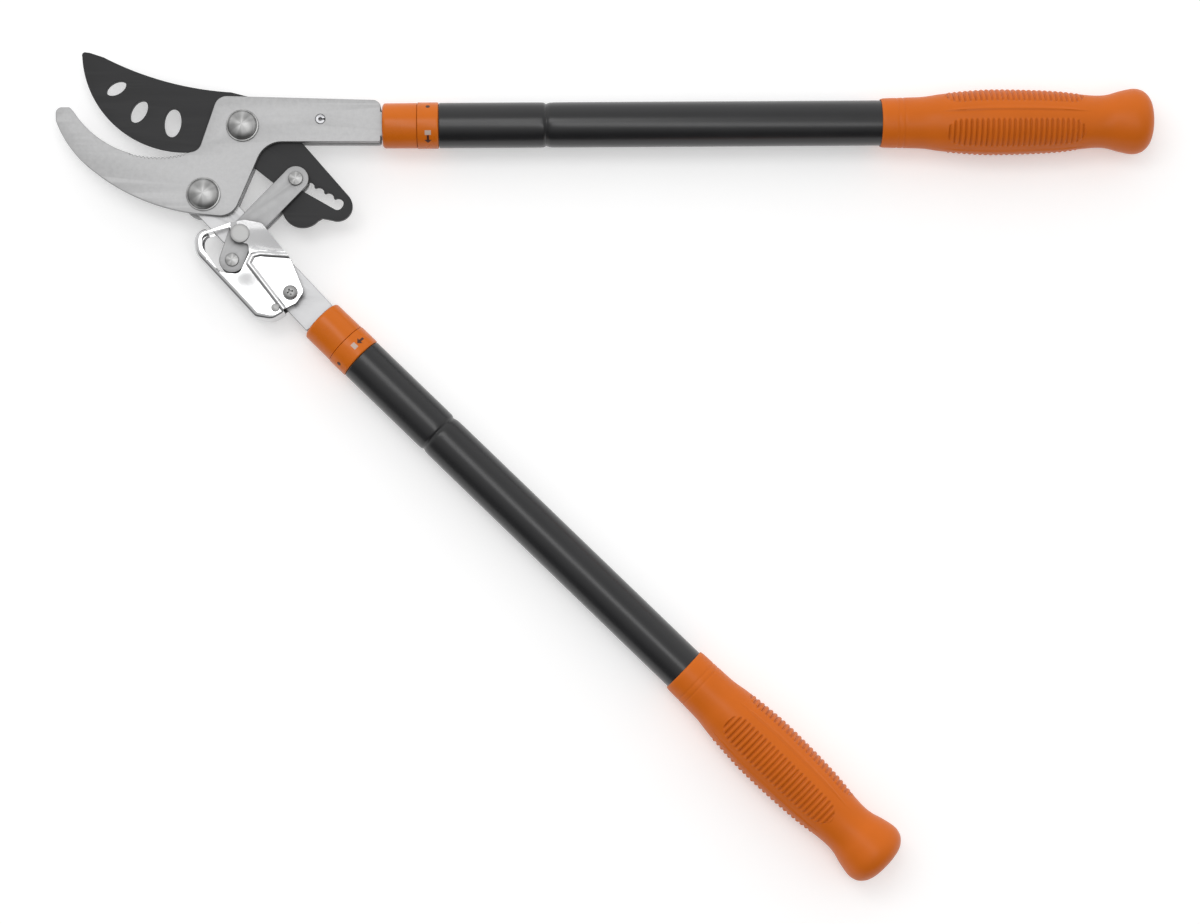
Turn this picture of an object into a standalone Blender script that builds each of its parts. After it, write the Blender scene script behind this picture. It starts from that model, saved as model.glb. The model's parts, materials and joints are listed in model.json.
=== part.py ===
"""Ratchet bypass loppers with two telescopic twist-lock handles.

The loppers lie flat: +X runs from the jaws to the grips, +Z points up out of the cutting plane.
Outlines are in millimetres, seen from +Z, with the blade pivot at (0, 0) and the middle of the
blade's thickness at height 0. The origin of the part is the middle of its footprint.
"""

from math import acos, atan2, ceil, cos, degrees, hypot, pi, radians, sin, tan

import bmesh
import bpy
from mathutils import Matrix, Vector

MM = 0.001

# ---------------------------------------------------------------- driving dimensions, mm

HEAD_PLACE = (-225.2, 207.8, 20.3)  # blade pivot, from the middle of the footprint

BLADE_PIVOT = (0.0, 0.0)
LEVER_PIVOT = (-23.5, -43.0)
LINK_PIVOT = (-0.5, -68.0)
RATCHET_PIN = (33.0, -33.0)
SPRING_PIN = (-5.6, -83.7)
SPRING_ANCHOR = (21.4, -113.7)
GUARD_SCREW = (30.5, -104.4)
STOP_PIN = (47.9, 4.3)

BLADE_HALF = 2.25  # half the thickness of the blade and of the lever bar
PLATE_LOW = 2.6  # the outer plates of the head, above and below the blade
PLATE_HIGH = 6.1
LINK_HIGH = 5.6
GUARD_LOW = 7.1
GUARD_HIGH = 8.3
GAP = 0.3  # running clearance between neighbours

BOLT_RADIUS = 3.95
BUSH_RADIUS = 5.6
RIVET_RADIUS = 3.0
PIN_RADIUS = 2.5
SPRING_PIN_RADIUS = 1.9
SCREW_RADIUS = 2.0

BOLT_TOP = 11.6  # the crown of a pivot bolt's head
BOLT_END = 12.0
WASHER_RADIUS = 8.4
WASHER_THICKNESS = 1.2
NUT_FLATS = 13.0
NUT_HEIGHT = 5.0
SMALL_NUT_FLATS = 7.0
SMALL_NUT_HEIGHT = 3.2
SPACER_RADIUS = 4.4
STOP_PIN_RADIUS = 2.9
STOP_PIN_WALL = 1.2
STOP_PIN_SLIT = 12.0  # degrees on each side of the slit's middle

# the handles: a frame on each tube axis, with its zero at the front of the locking sleeve
UPPER_FRONT = (86.2, 1.35)
UPPER_ANGLE = 0.45  # degrees
LOWER_FRONT = (48.6, -120.0)
LOWER_ANGLE = -44.13

TONGUE_HALF = 7.75  # half the width of a tongue inside its tube
TONGUE_LENGTH = 42.0
INNER_TUBE_RADIUS = 11.6
INNER_TUBE_BORE = 10.4
INNER_TUBE_START = 1.0
INNER_TUBE_END = 441.0
OUTER_TUBE_RADIUS = 14.0
OUTER_TUBE_BORE = 12.7
OUTER_TUBE_END = 472.0
SLEEVE_LENGTH = 21.3
RING_END = 34.6
RING_RADIUS = 14.35
CRIMP_PLACE = 101.0
GRIP_START = 309.0
GRIP_LENGTH = 170.0
CROSS_PIN_PLACE = 22.0
CROSS_PIN_RADIUS = 1.9
CROSS_HOLE_LENGTH = 30.0  # long enough to pass a tube and what it holds

SEGMENTS = 20  # sides of a turned piece
PIN_SEGMENTS = 14
CHORD_ERROR = 0.05  # how far a facet of a small round may lie inside it

# ---------------------------------------------------------------- scene, collections, materials


def clear_scene():
    for old in list(bpy.data.objects):
        bpy.data.objects.remove(old, do_unlink=True)


def new_collection(name):
    collection = bpy.data.collections.new(name)
    bpy.context.scene.collection.children.link(collection)
    return collection


def material(name, colour, roughness, metallic):
    made = bpy.data.materials.new(name)
    made.use_nodes = True
    shader = made.node_tree.nodes["Principled BSDF"]
    shader.inputs["Base Color"].default_value = (*colour, 1.0)
    shader.inputs["Roughness"].default_value = roughness
    shader.inputs["Metallic"].default_value = metallic
    made.diffuse_color = (*colour, 1.0)
    return made


clear_scene()
PARTS = new_collection("bypass_loppers")
CUTTERS = new_collection("bypass_loppers_cutters")

FINISHES = {
    "hook_steel": ((0.52, 0.52, 0.52), 0.42, 0.9),
    "coated_steel": ((0.045, 0.045, 0.048), 0.5, 0.2),
    "lever_steel": ((0.62, 0.62, 0.62), 0.38, 0.9),
    "polished_steel": ((0.78, 0.78, 0.78), 0.15, 1.0),
    "zinc": ((0.65, 0.66, 0.66), 0.3, 1.0),
    "spring_wire": ((0.4, 0.4, 0.42), 0.3, 1.0),
    "bronze": ((0.42, 0.27, 0.12), 0.35, 1.0),
    "black_tube": ((0.035, 0.035, 0.037), 0.45, 0.3),
    "aluminium": ((0.6, 0.61, 0.62), 0.4, 1.0),
    "orange_plastic": ((0.66, 0.16, 0.02), 0.35, 0.0),
    "orange_rubber": ((0.6, 0.15, 0.02), 0.55, 0.0),
    "nylon": ((0.08, 0.08, 0.08), 0.5, 0.0),
}

# ---------------------------------------------------------------- outlines


def arc(centre, radius, start, end, step=6.0):
    """Points on a circle from one angle to another, in degrees."""
    count = max(2, round(abs(end - start) / step))
    turns = [radians(start + (end - start) * i / count) for i in range(count + 1)]
    return [(centre[0] + radius * cos(t), centre[1] + radius * sin(t)) for t in turns]


def facet_angle(radius):
    """The angle that one facet of a round covers, in degrees."""
    return degrees(2 * acos(1 - CHORD_ERROR / radius))


def circle(centre, radius, count=None):
    sides = count or 2 * ceil(180.0 / facet_angle(radius))
    return arc(centre, radius, 0.0, 360.0 - 360.0 / sides, 360.0 / sides)


def hexagon(centre, flats):
    return circle(centre, flats / 2 / cos(pi / 6), 6)


def ellipse(centre, long_half, short_half, tilt, count=20):
    """An ellipse whose long axis is turned by tilt degrees from +X."""
    c, s = cos(radians(tilt)), sin(radians(tilt))
    flat = [(long_half * x, short_half * y) for x, y in circle((0, 0), 1.0, count)]
    return [(centre[0] + x * c - y * s, centre[1] + x * s + y * c) for x, y in flat]


def rounded(corners):
    """A closed outline: each corner is (x, y) for a sharp one or (x, y, radius) for a round one."""
    points = []
    total = len(corners)
    for i, corner in enumerate(corners):
        here = Vector(corner[:2])
        if len(corner) == 2:
            points.append(tuple(here))
            continue
        before = (Vector(corners[i - 1][:2]) - here).normalized()
        after = (Vector(corners[(i + 1) % total][:2]) - here).normalized()
        half = before.angle(after) / 2
        centre = here + (before + after).normalized() * corner[2] / sin(half)
        first = here + before * corner[2] / tan(half) - centre
        last = here + after * corner[2] / tan(half) - centre
        start = degrees(atan2(first.y, first.x))
        turn = (degrees(atan2(last.y, last.x)) - start + 180.0) % 360.0 - 180.0
        points += arc(centre, corner[2], start, start + turn, facet_angle(corner[2]))
    return points


def offset_point(origin, angle, along, left):
    """A point at a distance along a direction and to its left."""
    c, s = cos(radians(angle)), sin(radians(angle))
    return (origin[0] + along * c - left * s, origin[1] + along * s + left * c)


def strip(edge, width):
    """The closed outline of a band of that width on the left of an open run of points."""
    inner = []
    for i, point in enumerate(edge):
        ahead = Vector(edge[min(i + 1, len(edge) - 1)]) - Vector(edge[max(i - 1, 0)])
        normal = Vector((-ahead.y, ahead.x)).normalized()
        inner.append(tuple(Vector(point) + normal * width))
    return list(edge) + inner[::-1]


# ---------------------------------------------------------------- solids


def empty(name, place, matrix=None):
    frame = bpy.data.objects.new(name, None)
    frame.empty_display_size = 0.02
    frame.matrix_world = matrix or Matrix.Translation(Vector(place) * MM)
    PARTS.objects.link(frame)
    return frame


def link_object(name, mesh, parent, finish, collection=None):
    made = bpy.data.objects.new(name, mesh)
    (collection or PARTS).objects.link(made)
    made.parent = parent
    if finish:
        mesh.materials.append(finish)
    return made


def slab_mesh(outlines, low, high, origin=(0.0, 0.0)):
    """The welded mesh of a flat plate: the first outline is its edge, the others are holes."""
    curve = bpy.data.curves.new("outline", "CURVE")
    curve.dimensions = "2D"
    curve.fill_mode = "BOTH"
    curve.extrude = (high - low) / 2 * MM
    for outline in outlines:
        spline = curve.splines.new("POLY")
        spline.points.add(len(outline) - 1)
        for point, (x, y) in zip(spline.points, outline):
            point.co = ((x - origin[0]) * MM, (y - origin[1]) * MM, 0.0, 1.0)
        spline.use_cyclic_u = True
    return welded_mesh(curve, Matrix.Translation((0, 0, (low + high) / 2 * MM)))


def welded_mesh(curve, move):
    """A curve turned into a mesh whose caps are joined to its sides."""
    guide = bpy.data.objects.new("guide", curve)
    CUTTERS.objects.link(guide)
    bpy.context.view_layer.update()
    graph = bpy.context.evaluated_depsgraph_get()
    mesh = bpy.data.meshes.new_from_object(guide.evaluated_get(graph))
    bpy.data.objects.remove(guide, do_unlink=True)
    body = bmesh.new()
    body.from_mesh(mesh)
    bmesh.ops.remove_doubles(body, verts=body.verts, dist=0.00001)
    bmesh.ops.transform(body, matrix=move, verts=body.verts)
    bmesh.ops.recalc_face_normals(body, faces=body.faces)
    body.to_mesh(mesh)
    body.free()
    return mesh


def plate(name, outlines, low, high, parent, finish, origin=(0.0, 0.0)):
    """A flat plate in its parent's frame; the outlines are in the plane of the head."""
    return link_object(name, slab_mesh(outlines, low, high, origin), parent, finish)


def turned(name, profile, parent, finish, place=(0.0, 0.0), segments=SEGMENTS):
    """A turned piece about its parent's Z axis, from (radius, height) points, top to bottom."""
    mesh = bpy.data.meshes.new(name)
    on_axis = profile[0][0] == 0.0
    edges = [(i, i + 1) for i in range(len(profile) - 1)]
    if not on_axis:
        edges.append((len(profile) - 1, 0))
    mesh.from_pydata([(r * MM, 0.0, z * MM) for r, z in profile], edges, [])
    made = link_object(name, mesh, parent, finish)
    made.location = (place[0] * MM, place[1] * MM, 0.0)
    screw = made.modifiers.new("turn", "SCREW")
    screw.axis = "Z"
    screw.steps = segments
    screw.render_steps = segments
    screw.use_merge_vertices = True
    screw.merge_threshold = 0.00001
    screw.use_smooth_shade = True
    return made


def ring_profile(outer, inner, low, high):
    return [(outer, high), (outer, low), (inner, low), (inner, high)]


def cut(target, mesh, parent, place=(0.0, 0.0, 0.0), turn=None):
    """Takes a cutter's shape out of an object."""
    cutter = link_object(target.name + "_cutter", mesh, parent, None, CUTTERS)
    cutter.location = Vector(place) * MM
    if turn:
        cutter.rotation_euler = turn
    cutter.hide_render = True
    cutter.display_type = "WIRE"
    boolean = target.modifiers.new("cut", "BOOLEAN")
    boolean.operation = "DIFFERENCE"
    boolean.solver = "EXACT"
    boolean.object = cutter


def join(target, mesh, parent):
    """Adds a second shape to an object, as one body."""
    helper = link_object(target.name + "_joined", mesh, parent, None, CUTTERS)
    helper.hide_render = True
    helper.display_type = "WIRE"
    boolean = target.modifiers.new("join", "BOOLEAN")
    boolean.operation = "UNION"
    boolean.solver = "EXACT"
    boolean.object = helper


def cylinder_mesh(radius, length, segments=12):
    """A cylinder about Z, centred on its middle."""
    mesh = bpy.data.meshes.new("cylinder")
    body = bmesh.new()
    bmesh.ops.create_cone(
        body,
        cap_ends=True,
        segments=segments,
        radius1=radius * MM,
        radius2=radius * MM,
        depth=length * MM,
    )
    body.to_mesh(mesh)
    body.free()
    return mesh


def cross_hole():
    """The cutter for the cross pin's hole, about Z."""
    return cylinder_mesh(CROSS_PIN_RADIUS + GAP, CROSS_HOLE_LENGTH)


# ---------------------------------------------------------------- outlines of the head


def tongue_corners(front, angle, shoulder):
    """The tongue of a plate that runs into its tube, starting below the tube's axis."""
    return [
        offset_point(front, angle, shoulder, -TONGUE_HALF),
        offset_point(front, angle, TONGUE_LENGTH, -TONGUE_HALF),
        offset_point(front, angle, TONGUE_LENGTH, TONGUE_HALF),
        offset_point(front, angle, shoulder, TONGUE_HALF),
    ]


TANG_END = 85.2  # where the broad part of the tang stops, just ahead of the sleeve
TANG_BOTTOM = -10.0
TANG_TOP = 16.35


def tang_corners():
    """The neck and the tang, counter-clockwise from the lobe's right to the jaw's root."""
    return [
        (-5.9, -57.2, 12.0),
        (13.8, TANG_BOTTOM, 16.0),
        (TANG_END, TANG_BOTTOM, 1.5),
        *tongue_corners(UPPER_FRONT, UPPER_ANGLE, TANG_END - UPPER_FRONT[0]),
        (TANG_END, TANG_TOP, 5.0),
        (-15.4, 18.8, 8.0),
    ]


def hook_outline():
    """The front plate with its curved anvil hook."""
    inner = arc((-51.8, 42.1), 61.8, 286.0, 213.0)
    outer = arc((-49.3, 27.3), 69.7, 200.5, 235.0)
    belly = arc((-12.4, 70.5), 126.5, 234.0, 262.0)
    return rounded([
        *tang_corners(),
        (-26.6, -15.4, 7.0),
        *inner,
        (-106.2, 11.4, 1.8),
        (-115.0, 11.4, 3.8),
        *outer,
        *belly,
    ])


def back_outline():
    """The back plate has no hook, only a lobe round the lever's pivot."""
    return rounded([*tang_corners(), (-25.5, -12.0, 15.0), (-36.8, -36.0, 20.0), (-36.8, -57.2, 12.5)])


def blade_outline():
    """The cutting blade and, past its pivot, the tail that carries the ratchet slot."""
    edge = arc((-35.5, 48.1), 64.3, 184.0, 284.0)
    lobe = arc((37.0, -49.9), 12.8, 197.0, 318.0, 12.0)
    end = arc((58.4, -49.3), 9.3, 250.0, 400.0, 12.0)
    spine = arc((4.4, 218.2), 196.7, 266.5, 242.5, 4.0)
    return rounded([
        *edge,
        (-5.5, -15.1, 10.0),
        (22.6, -37.6, 8.0),
        *lobe,
        (49.4, -56.9),
        *end,
        (13.5, 16.6, 12.0),
        (2.0, 19.4),
        *spine,
        (-95.0, 46.6, 8.0),
        (-100.1, 47.2, 1.8),
    ])


SLOT_ANGLE = -29.7
NOTCH_PITCH = 6.9
NOTCH_RADIUS = 3.35
SLOT_LENGTH = 29.8  # from the ratchet pin's rest to the last notch
SLOT_LOW = -4.2
SLOT_REAR = -4.1
CUSP_ANGLE = 27.5


def ratchet_slot():
    """A slot with a straight lower edge and a notched upper one, as a hole in the tail."""
    shape = [(SLOT_REAR, SLOT_LOW, 3.4), (SLOT_LENGTH + 3.1, SLOT_LOW, 3.2)]
    shape += arc((SLOT_LENGTH, 0.0), NOTCH_RADIUS, 0.0, 180.0 - CUSP_ANGLE, 15.0)
    for k in range(1, 4):
        notch = (SLOT_LENGTH - k * NOTCH_PITCH, 0.0)
        shape += arc(notch, NOTCH_RADIUS, CUSP_ANGLE, 180.0 - CUSP_ANGLE, 15.0)
    shape += [(4.8, 3.4, 2.5), (SLOT_REAR, 3.4, 3.4)]
    return [offset_point(RATCHET_PIN, SLOT_ANGLE, u, v) for u, v in rounded(shape)]


def link_outline():
    """A bell crank: a long arm to the ratchet pin and a short one to the spring."""
    half = 7.9
    down = degrees(atan2(LINK_PIVOT[1] - RATCHET_PIN[1], LINK_PIVOT[0] - RATCHET_PIN[0]))
    arm = degrees(atan2(SPRING_PIN[1] - LINK_PIVOT[1], SPRING_PIN[0] - LINK_PIVOT[0]))
    bend = radians(arm - down) / 2
    middle = (down + arm) / 2
    reach = half / cos(bend)
    return rounded([
        (*offset_point(RATCHET_PIN, down, -half, -half), half - 0.01),
        (*offset_point(LINK_PIVOT, middle, 0.0, -reach), 12.0),
        (*offset_point(SPRING_PIN, arm, half, -half), half - 0.01),
        (*offset_point(SPRING_PIN, arm, half, half), half - 0.01),
        (*offset_point(LINK_PIVOT, middle, 0.0, reach), 10.0),
        (*offset_point(RATCHET_PIN, down, -half, half), half - 0.01),
    ])


LEVER_HALF = 11.15
SHOULDER = -0.6  # the lever's broad part stops just ahead of its tube


def lever_outline():
    """The lower lever: a straight bar with a round end, a relief for the spring pin, a tongue."""
    way = degrees(atan2(LOWER_FRONT[1] - LEVER_PIVOT[1], LOWER_FRONT[0] - LEVER_PIVOT[0]))
    length = hypot(LOWER_FRONT[0] - LEVER_PIVOT[0], LOWER_FRONT[1] - LEVER_PIVOT[1]) + SHOULDER
    relief_from, relief_to, relief_floor = 32.5, 56.5, -5.4
    return rounded([
        (*offset_point(LEVER_PIVOT, way, -LEVER_HALF, LEVER_HALF), LEVER_HALF - 0.05),
        (*offset_point(LEVER_PIVOT, way, -LEVER_HALF, -LEVER_HALF), LEVER_HALF - 0.05),
        (*offset_point(LEVER_PIVOT, way, relief_from, -LEVER_HALF), 1.5),
        (*offset_point(LEVER_PIVOT, way, relief_from + 5.0, relief_floor), 4.0),
        (*offset_point(LEVER_PIVOT, way, relief_to - 5.0, relief_floor), 4.0),
        (*offset_point(LEVER_PIVOT, way, relief_to, -LEVER_HALF), 1.5),
        (*offset_point(LEVER_PIVOT, way, length, -LEVER_HALF), 1.5),
        *tongue_corners(LOWER_FRONT, LOWER_ANGLE, SHOULDER),
        (*offset_point(LEVER_PIVOT, way, length, LEVER_HALF), 1.5),
    ])


def beside_lever(point):
    """How far a point lies from the lever's centre line, on the guard's side."""
    way = Vector(LOWER_FRONT) - Vector(LEVER_PIVOT)
    from_pivot = Vector(point) - Vector(LEVER_PIVOT)
    return (way.y * from_pivot.x - way.x * from_pivot.y) / way.length


GUARD_LEFT_EDGE = [
    (-6.5, -61.0),
    (-29.3, -66.5, 7.0),
    (-28.2, -79.9, 6.0),
    (8.6, -119.6, 4.0),
    (19.5, -121.2, 8.0),
    (29.6, -114.9, 1.5),
]


def guard_outline():
    """One cheek of the guard, counter-clockwise from its top left."""
    return rounded([
        *GUARD_LEFT_EDGE,
        (34.0, -110.8, 4.0),
        (38.6, -103.6, 4.0),
        (29.9, -82.6, 3.0),
        (13.0, -61.7, 5.0),
        (2.5, -59.6, 6.0),
    ])


def guard_window():
    """The opening in a cheek that shows the spring end of the link."""
    return rounded([
        (-6.6, -63.0, 0.8),
        (-25.6, -67.3, 5.0),
        (-24.6, -76.0, 8.0),
        (-13.9, -90.6, 4.0),
        (0.8, -90.3, 2.5),
        (5.2, -80.0, 2.5),
        (4.6, -74.3, 1.5),
        (-2.6, -72.8, 3.0),
        (-5.6, -69.0, 3.0),
    ])


# ---------------------------------------------------------------- pieces of the head


def bolt_profile(flange, dome):
    """A bolt with a thin flange and a domed head, and a plain shank through the plates."""
    seat = PLATE_HIGH + GAP
    chamfer = 0.6
    return [
        (0.0, BOLT_TOP),
        (dome * 0.4, BOLT_TOP - 0.25),
        (dome * 0.75, BOLT_TOP - 1.2),
        (dome * 0.95, BOLT_TOP - 2.6),
        (dome, seat + 1.0),
        (flange, seat + 0.9),
        (flange, seat),
        (BOLT_RADIUS, seat),
        (BOLT_RADIUS, chamfer - BOLT_END),
        (BOLT_RADIUS - chamfer, -BOLT_END),
        (0.0, -BOLT_END),
    ]


def pivot_set(prefix, place, frame, flange, dome):
    """A pivot: its bolt, the bush that the moving piece turns on, a washer and a nut."""
    turned(prefix + "_bolt", bolt_profile(flange, dome), frame, ZINC, place)
    bush = ring_profile(BUSH_RADIUS, BOLT_RADIUS + GAP, -BLADE_HALF, BLADE_HALF)
    turned(prefix + "_bush", bush, frame, BRONZE, place)
    washer_top = -PLATE_HIGH - GAP
    washer_bottom = washer_top - WASHER_THICKNESS
    washer = ring_profile(WASHER_RADIUS, BOLT_RADIUS + GAP, washer_bottom, washer_top)
    turned(prefix + "_washer", washer, frame, ZINC, place)
    nut_top = washer_bottom - GAP
    bore = circle(place, BOLT_RADIUS + GAP)
    outlines = [hexagon(place, NUT_FLATS), bore]
    plate(prefix + "_nut", outlines, nut_top - NUT_HEIGHT, nut_top, frame, ZINC)


def make_head(head, blade):
    plate_holes = [
        circle(BLADE_PIVOT, BOLT_RADIUS + GAP),
        circle(LEVER_PIVOT, BOLT_RADIUS + GAP),
        circle(STOP_PIN, STOP_PIN_RADIUS + GAP),
    ]
    hook = plate("hook_plate", [hook_outline(), *plate_holes], PLATE_LOW, PLATE_HIGH, head, HOOK_STEEL)
    back = plate("back_plate", [back_outline(), *plate_holes], -PLATE_HIGH, -PLATE_LOW, head, HOOK_STEEL)
    spacer_outline = [
        offset_point(UPPER_FRONT, UPPER_ANGLE, along, left)
        for along, left in ((-17.0, -TONGUE_HALF), (TONGUE_LENGTH, -TONGUE_HALF),
                            (TONGUE_LENGTH, TONGUE_HALF), (-17.0, TONGUE_HALF))
    ]
    spacer = plate("tang_spacer", [spacer_outline], GAP - PLATE_LOW, PLATE_LOW - GAP, head, ZINC)
    for piece in (hook, back, spacer):
        x, y = offset_point(UPPER_FRONT, UPPER_ANGLE, CROSS_PIN_PLACE, 0.0)
        cut(piece, cross_hole(), head, (x, y, 0.0))

    pin = arc(STOP_PIN, STOP_PIN_RADIUS, STOP_PIN_SLIT, 360.0 - STOP_PIN_SLIT, 24.0)
    inner_slit = STOP_PIN_SLIT * 1.5
    bore_radius = STOP_PIN_RADIUS - STOP_PIN_WALL
    pin += arc(STOP_PIN, bore_radius, 360.0 - inner_slit, inner_slit, 27.0)
    plate("stop_pin", [pin], -PLATE_HIGH, PLATE_HIGH, head, SPRING_WIRE)
    bush_half = PLATE_LOW - GAP - 0.1
    bush = ring_profile(4.0, STOP_PIN_RADIUS + GAP, -bush_half, bush_half)
    turned("stop_bush", bush, head, ZINC, STOP_PIN)

    pivot_set("blade", BLADE_PIVOT, head, 10.0, 9.4)
    pivot_set("lever", LEVER_PIVOT, head, 10.5, 9.9)

    windows = [
        ellipse((-78.4, 24.3), 6.6, 3.9, 30.0),
        ellipse((-64.2, 9.7), 7.6, 4.6, 62.0),
        ellipse((-43.4, 2.7), 9.1, 5.3, 86.0),
    ]
    bush_hole = circle(BLADE_PIVOT, BUSH_RADIUS + GAP)
    outlines = [blade_outline(), bush_hole, ratchet_slot(), *windows]
    plate("cutting_blade", outlines, -BLADE_HALF, BLADE_HALF, blade, COATED_STEEL)


# ---------------------------------------------------------------- lever, link, spring and guard


def two_headed(name, place, frame, shank, head, seat, top, finish):
    """A pin or rivet with the same flat head at both ends."""
    profile = [
        (0.0, top),
        (head - 0.8, top),
        (head, top - 0.6),
        (head, seat),
        (shank, seat),
        (shank, -seat),
        (head, -seat),
        (head, 0.6 - top),
        (head - 0.8, -top),
        (0.0, -top),
    ]
    origin = frame.location / MM - Vector(HEAD_PLACE)
    place = (place[0] - origin.x, place[1] - origin.y)
    return turned(name, profile, frame, finish, place, PIN_SEGMENTS)


def make_lever(lever):
    holes = [
        circle(LEVER_PIVOT, BUSH_RADIUS + GAP),
        circle(LINK_PIVOT, RIVET_RADIUS + GAP),
        circle(GUARD_SCREW, SCREW_RADIUS + GAP),
    ]
    outlines = [lever_outline(), *holes]
    bar = plate("lever_bar", outlines, -BLADE_HALF, BLADE_HALF, lever, LEVER_STEEL, LEVER_PIVOT)
    x, y = offset_point(LOWER_FRONT, LOWER_ANGLE, CROSS_PIN_PLACE, 0.0)
    pin_place = (x - LEVER_PIVOT[0], y - LEVER_PIVOT[1], 0.0)
    cut(bar, cross_hole(), lever, pin_place)

    two_headed("link_rivet", LINK_PIVOT, lever, RIVET_RADIUS, 5.9, GUARD_HIGH + GAP, 10.8, ZINC)
    make_guard(lever)


def make_guard(lever):
    """A sheet folded over the link and its spring, screwed to the lever."""
    holes = [
        guard_window(),
        circle(LINK_PIVOT, RIVET_RADIUS + GAP),
        circle(GUARD_SCREW, SCREW_RADIUS + GAP),
        circle(SPRING_ANCHOR, 2.1),
    ]
    outlines = [guard_outline(), *holes]
    guard = plate("spring_guard", outlines, GUARD_LOW, GUARD_HIGH, lever, POLISHED_STEEL, LEVER_PIVOT)
    fold = [point for point in rounded(GUARD_LEFT_EDGE) if beside_lever(point) > LEVER_HALF + 1.8]
    wall_edge = strip(fold, 0.2)[len(fold):][::-1]
    middle = (GUARD_LOW + GUARD_HIGH) / 2
    join(guard, slab_mesh([strip(wall_edge, 1.2)], -middle, middle, LEVER_PIVOT), lever)
    join(guard, slab_mesh(outlines, -GUARD_HIGH, -GUARD_LOW, LEVER_PIVOT), lever)

    place = (GUARD_SCREW[0] - LEVER_PIVOT[0], GUARD_SCREW[1] - LEVER_PIVOT[1])
    seat = GUARD_HIGH + GAP
    screw = [
        (0.0, seat + 2.6),
        (2.6, seat + 2.4),
        (4.2, seat + 1.4),
        (4.6, seat + 0.2),
        (4.6, seat),
        (SCREW_RADIUS, seat),
        (SCREW_RADIUS, -11.6),
        (0.0, -11.6),
    ]
    turned("guard_screw", screw, lever, ZINC, place, PIN_SEGMENTS)
    low, high = BLADE_HALF + GAP, GUARD_LOW - GAP
    for side, bottom, top in (("front", low, high), ("back", -high, -low)):
        spacer = ring_profile(SPACER_RADIUS, SCREW_RADIUS + GAP, bottom, top)
        turned("guard_spacer_" + side, spacer, lever, ZINC, place, PIN_SEGMENTS)
    outlines = [hexagon(GUARD_SCREW, SMALL_NUT_FLATS), circle(GUARD_SCREW, SCREW_RADIUS + GAP)]
    plate("guard_nut", outlines, -seat - SMALL_NUT_HEIGHT, -seat, lever, ZINC, LEVER_PIVOT)
    two_headed("spring_anchor_pin", SPRING_ANCHOR, lever, 1.8, 2.5, seat, seat + 0.8, ZINC)


def make_link(link):
    holes = [
        circle(LINK_PIVOT, RIVET_RADIUS + GAP),
        circle(RATCHET_PIN, PIN_RADIUS + GAP),
        circle(SPRING_PIN, SPRING_PIN_RADIUS + GAP),
    ]
    outlines = [link_outline(), *holes]
    plate("link_plate_front", outlines, PLATE_LOW, LINK_HIGH, link, HOOK_STEEL, LINK_PIVOT)
    plate("link_plate_back", outlines, -LINK_HIGH, -PLATE_LOW, link, HOOK_STEEL, LINK_PIVOT)
    seat = LINK_HIGH + GAP
    two_headed("ratchet_pin", RATCHET_PIN, link, PIN_RADIUS, 4.3, seat, 7.4, ZINC)
    two_headed("spring_pin", SPRING_PIN, link, SPRING_PIN_RADIUS, 4.1, seat, 6.8, ZINC)


SPRING_RADIUS = 3.0  # of the coil's centre line
WIRE_RADIUS = 0.5
LOOP_RADIUS = 2.8
COILS = 8
COIL_POINTS = 9


def make_spring(link):
    """An extension spring: a loop on each pin and open coils between them."""
    start, end = Vector(SPRING_PIN), Vector(SPRING_ANCHOR)
    axis = (end - start).normalized()
    side = Vector((-axis.y, axis.x))
    length = (end - start).length
    coils_start = 9.0  # past the round end of the link
    coils_end = length - LOOP_RADIUS - 2.6

    def place(along, across, height):
        flat = start + axis * along + side * across - Vector(LINK_PIVOT)
        return (flat.x, flat.y, height)

    loop = [radians(angle) for angle in range(30, 331, 60)]
    route = [place(LOOP_RADIUS * cos(a), LOOP_RADIUS * sin(a), 0.0) for a in loop]
    count = COILS * COIL_POINTS
    for i in range(count + 1):
        turn = 2 * pi * i / COIL_POINTS - pi / 2
        along = coils_start + (coils_end - coils_start) * i / count
        route.append(place(along, SPRING_RADIUS * sin(turn), SPRING_RADIUS * cos(turn)))
    loop = [radians(angle) for angle in range(210, 511, 60)]
    route += [place(length + LOOP_RADIUS * cos(a), LOOP_RADIUS * sin(a), 0.0) for a in loop]

    curve = bpy.data.curves.new("spring_wire", "CURVE")
    curve.dimensions = "3D"
    curve.bevel_depth = WIRE_RADIUS * MM
    curve.bevel_resolution = 1
    curve.use_fill_caps = True
    spline = curve.splines.new("POLY")
    spline.points.add(len(route) - 1)
    for point, place_of_point in zip(spline.points, route):
        point.co = (*(Vector(place_of_point) * MM), 1.0)
    link_object("ratchet_spring", welded_mesh(curve, Matrix()), link, SPRING_WIRE)


# ---------------------------------------------------------------- telescopic handles


def tube_section(thickness_low, thickness_high, radius):
    """A slice of a round bar between two heights, as an outline across the bar."""
    low = degrees(atan2(thickness_low, (radius**2 - thickness_low**2) ** 0.5))
    high = degrees(atan2(thickness_high, (radius**2 - thickness_high**2) ** 0.5))
    return arc((0, 0), radius, low, high, 12.0) + arc((0, 0), radius, 180.0 - high, 180.0 - low, 12.0)


GRIP_PROFILE = [  # radius against distance from the front of the grip
    (19.3, 161.6),
    (20.3, 157.6),
    (18.8, 149.5),
    (16.7, 142.0),
    (16.2, 135.0),
    (17.0, 124.5),
    (18.6, 111.0),
    (19.6, 92.0),
    (20.0, 70.0),
    (19.3, 55.0),
    (17.6, 37.5),
    (16.1, 27.0),
    (15.3, 3.0),
    (14.9, 0.0),
]


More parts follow.
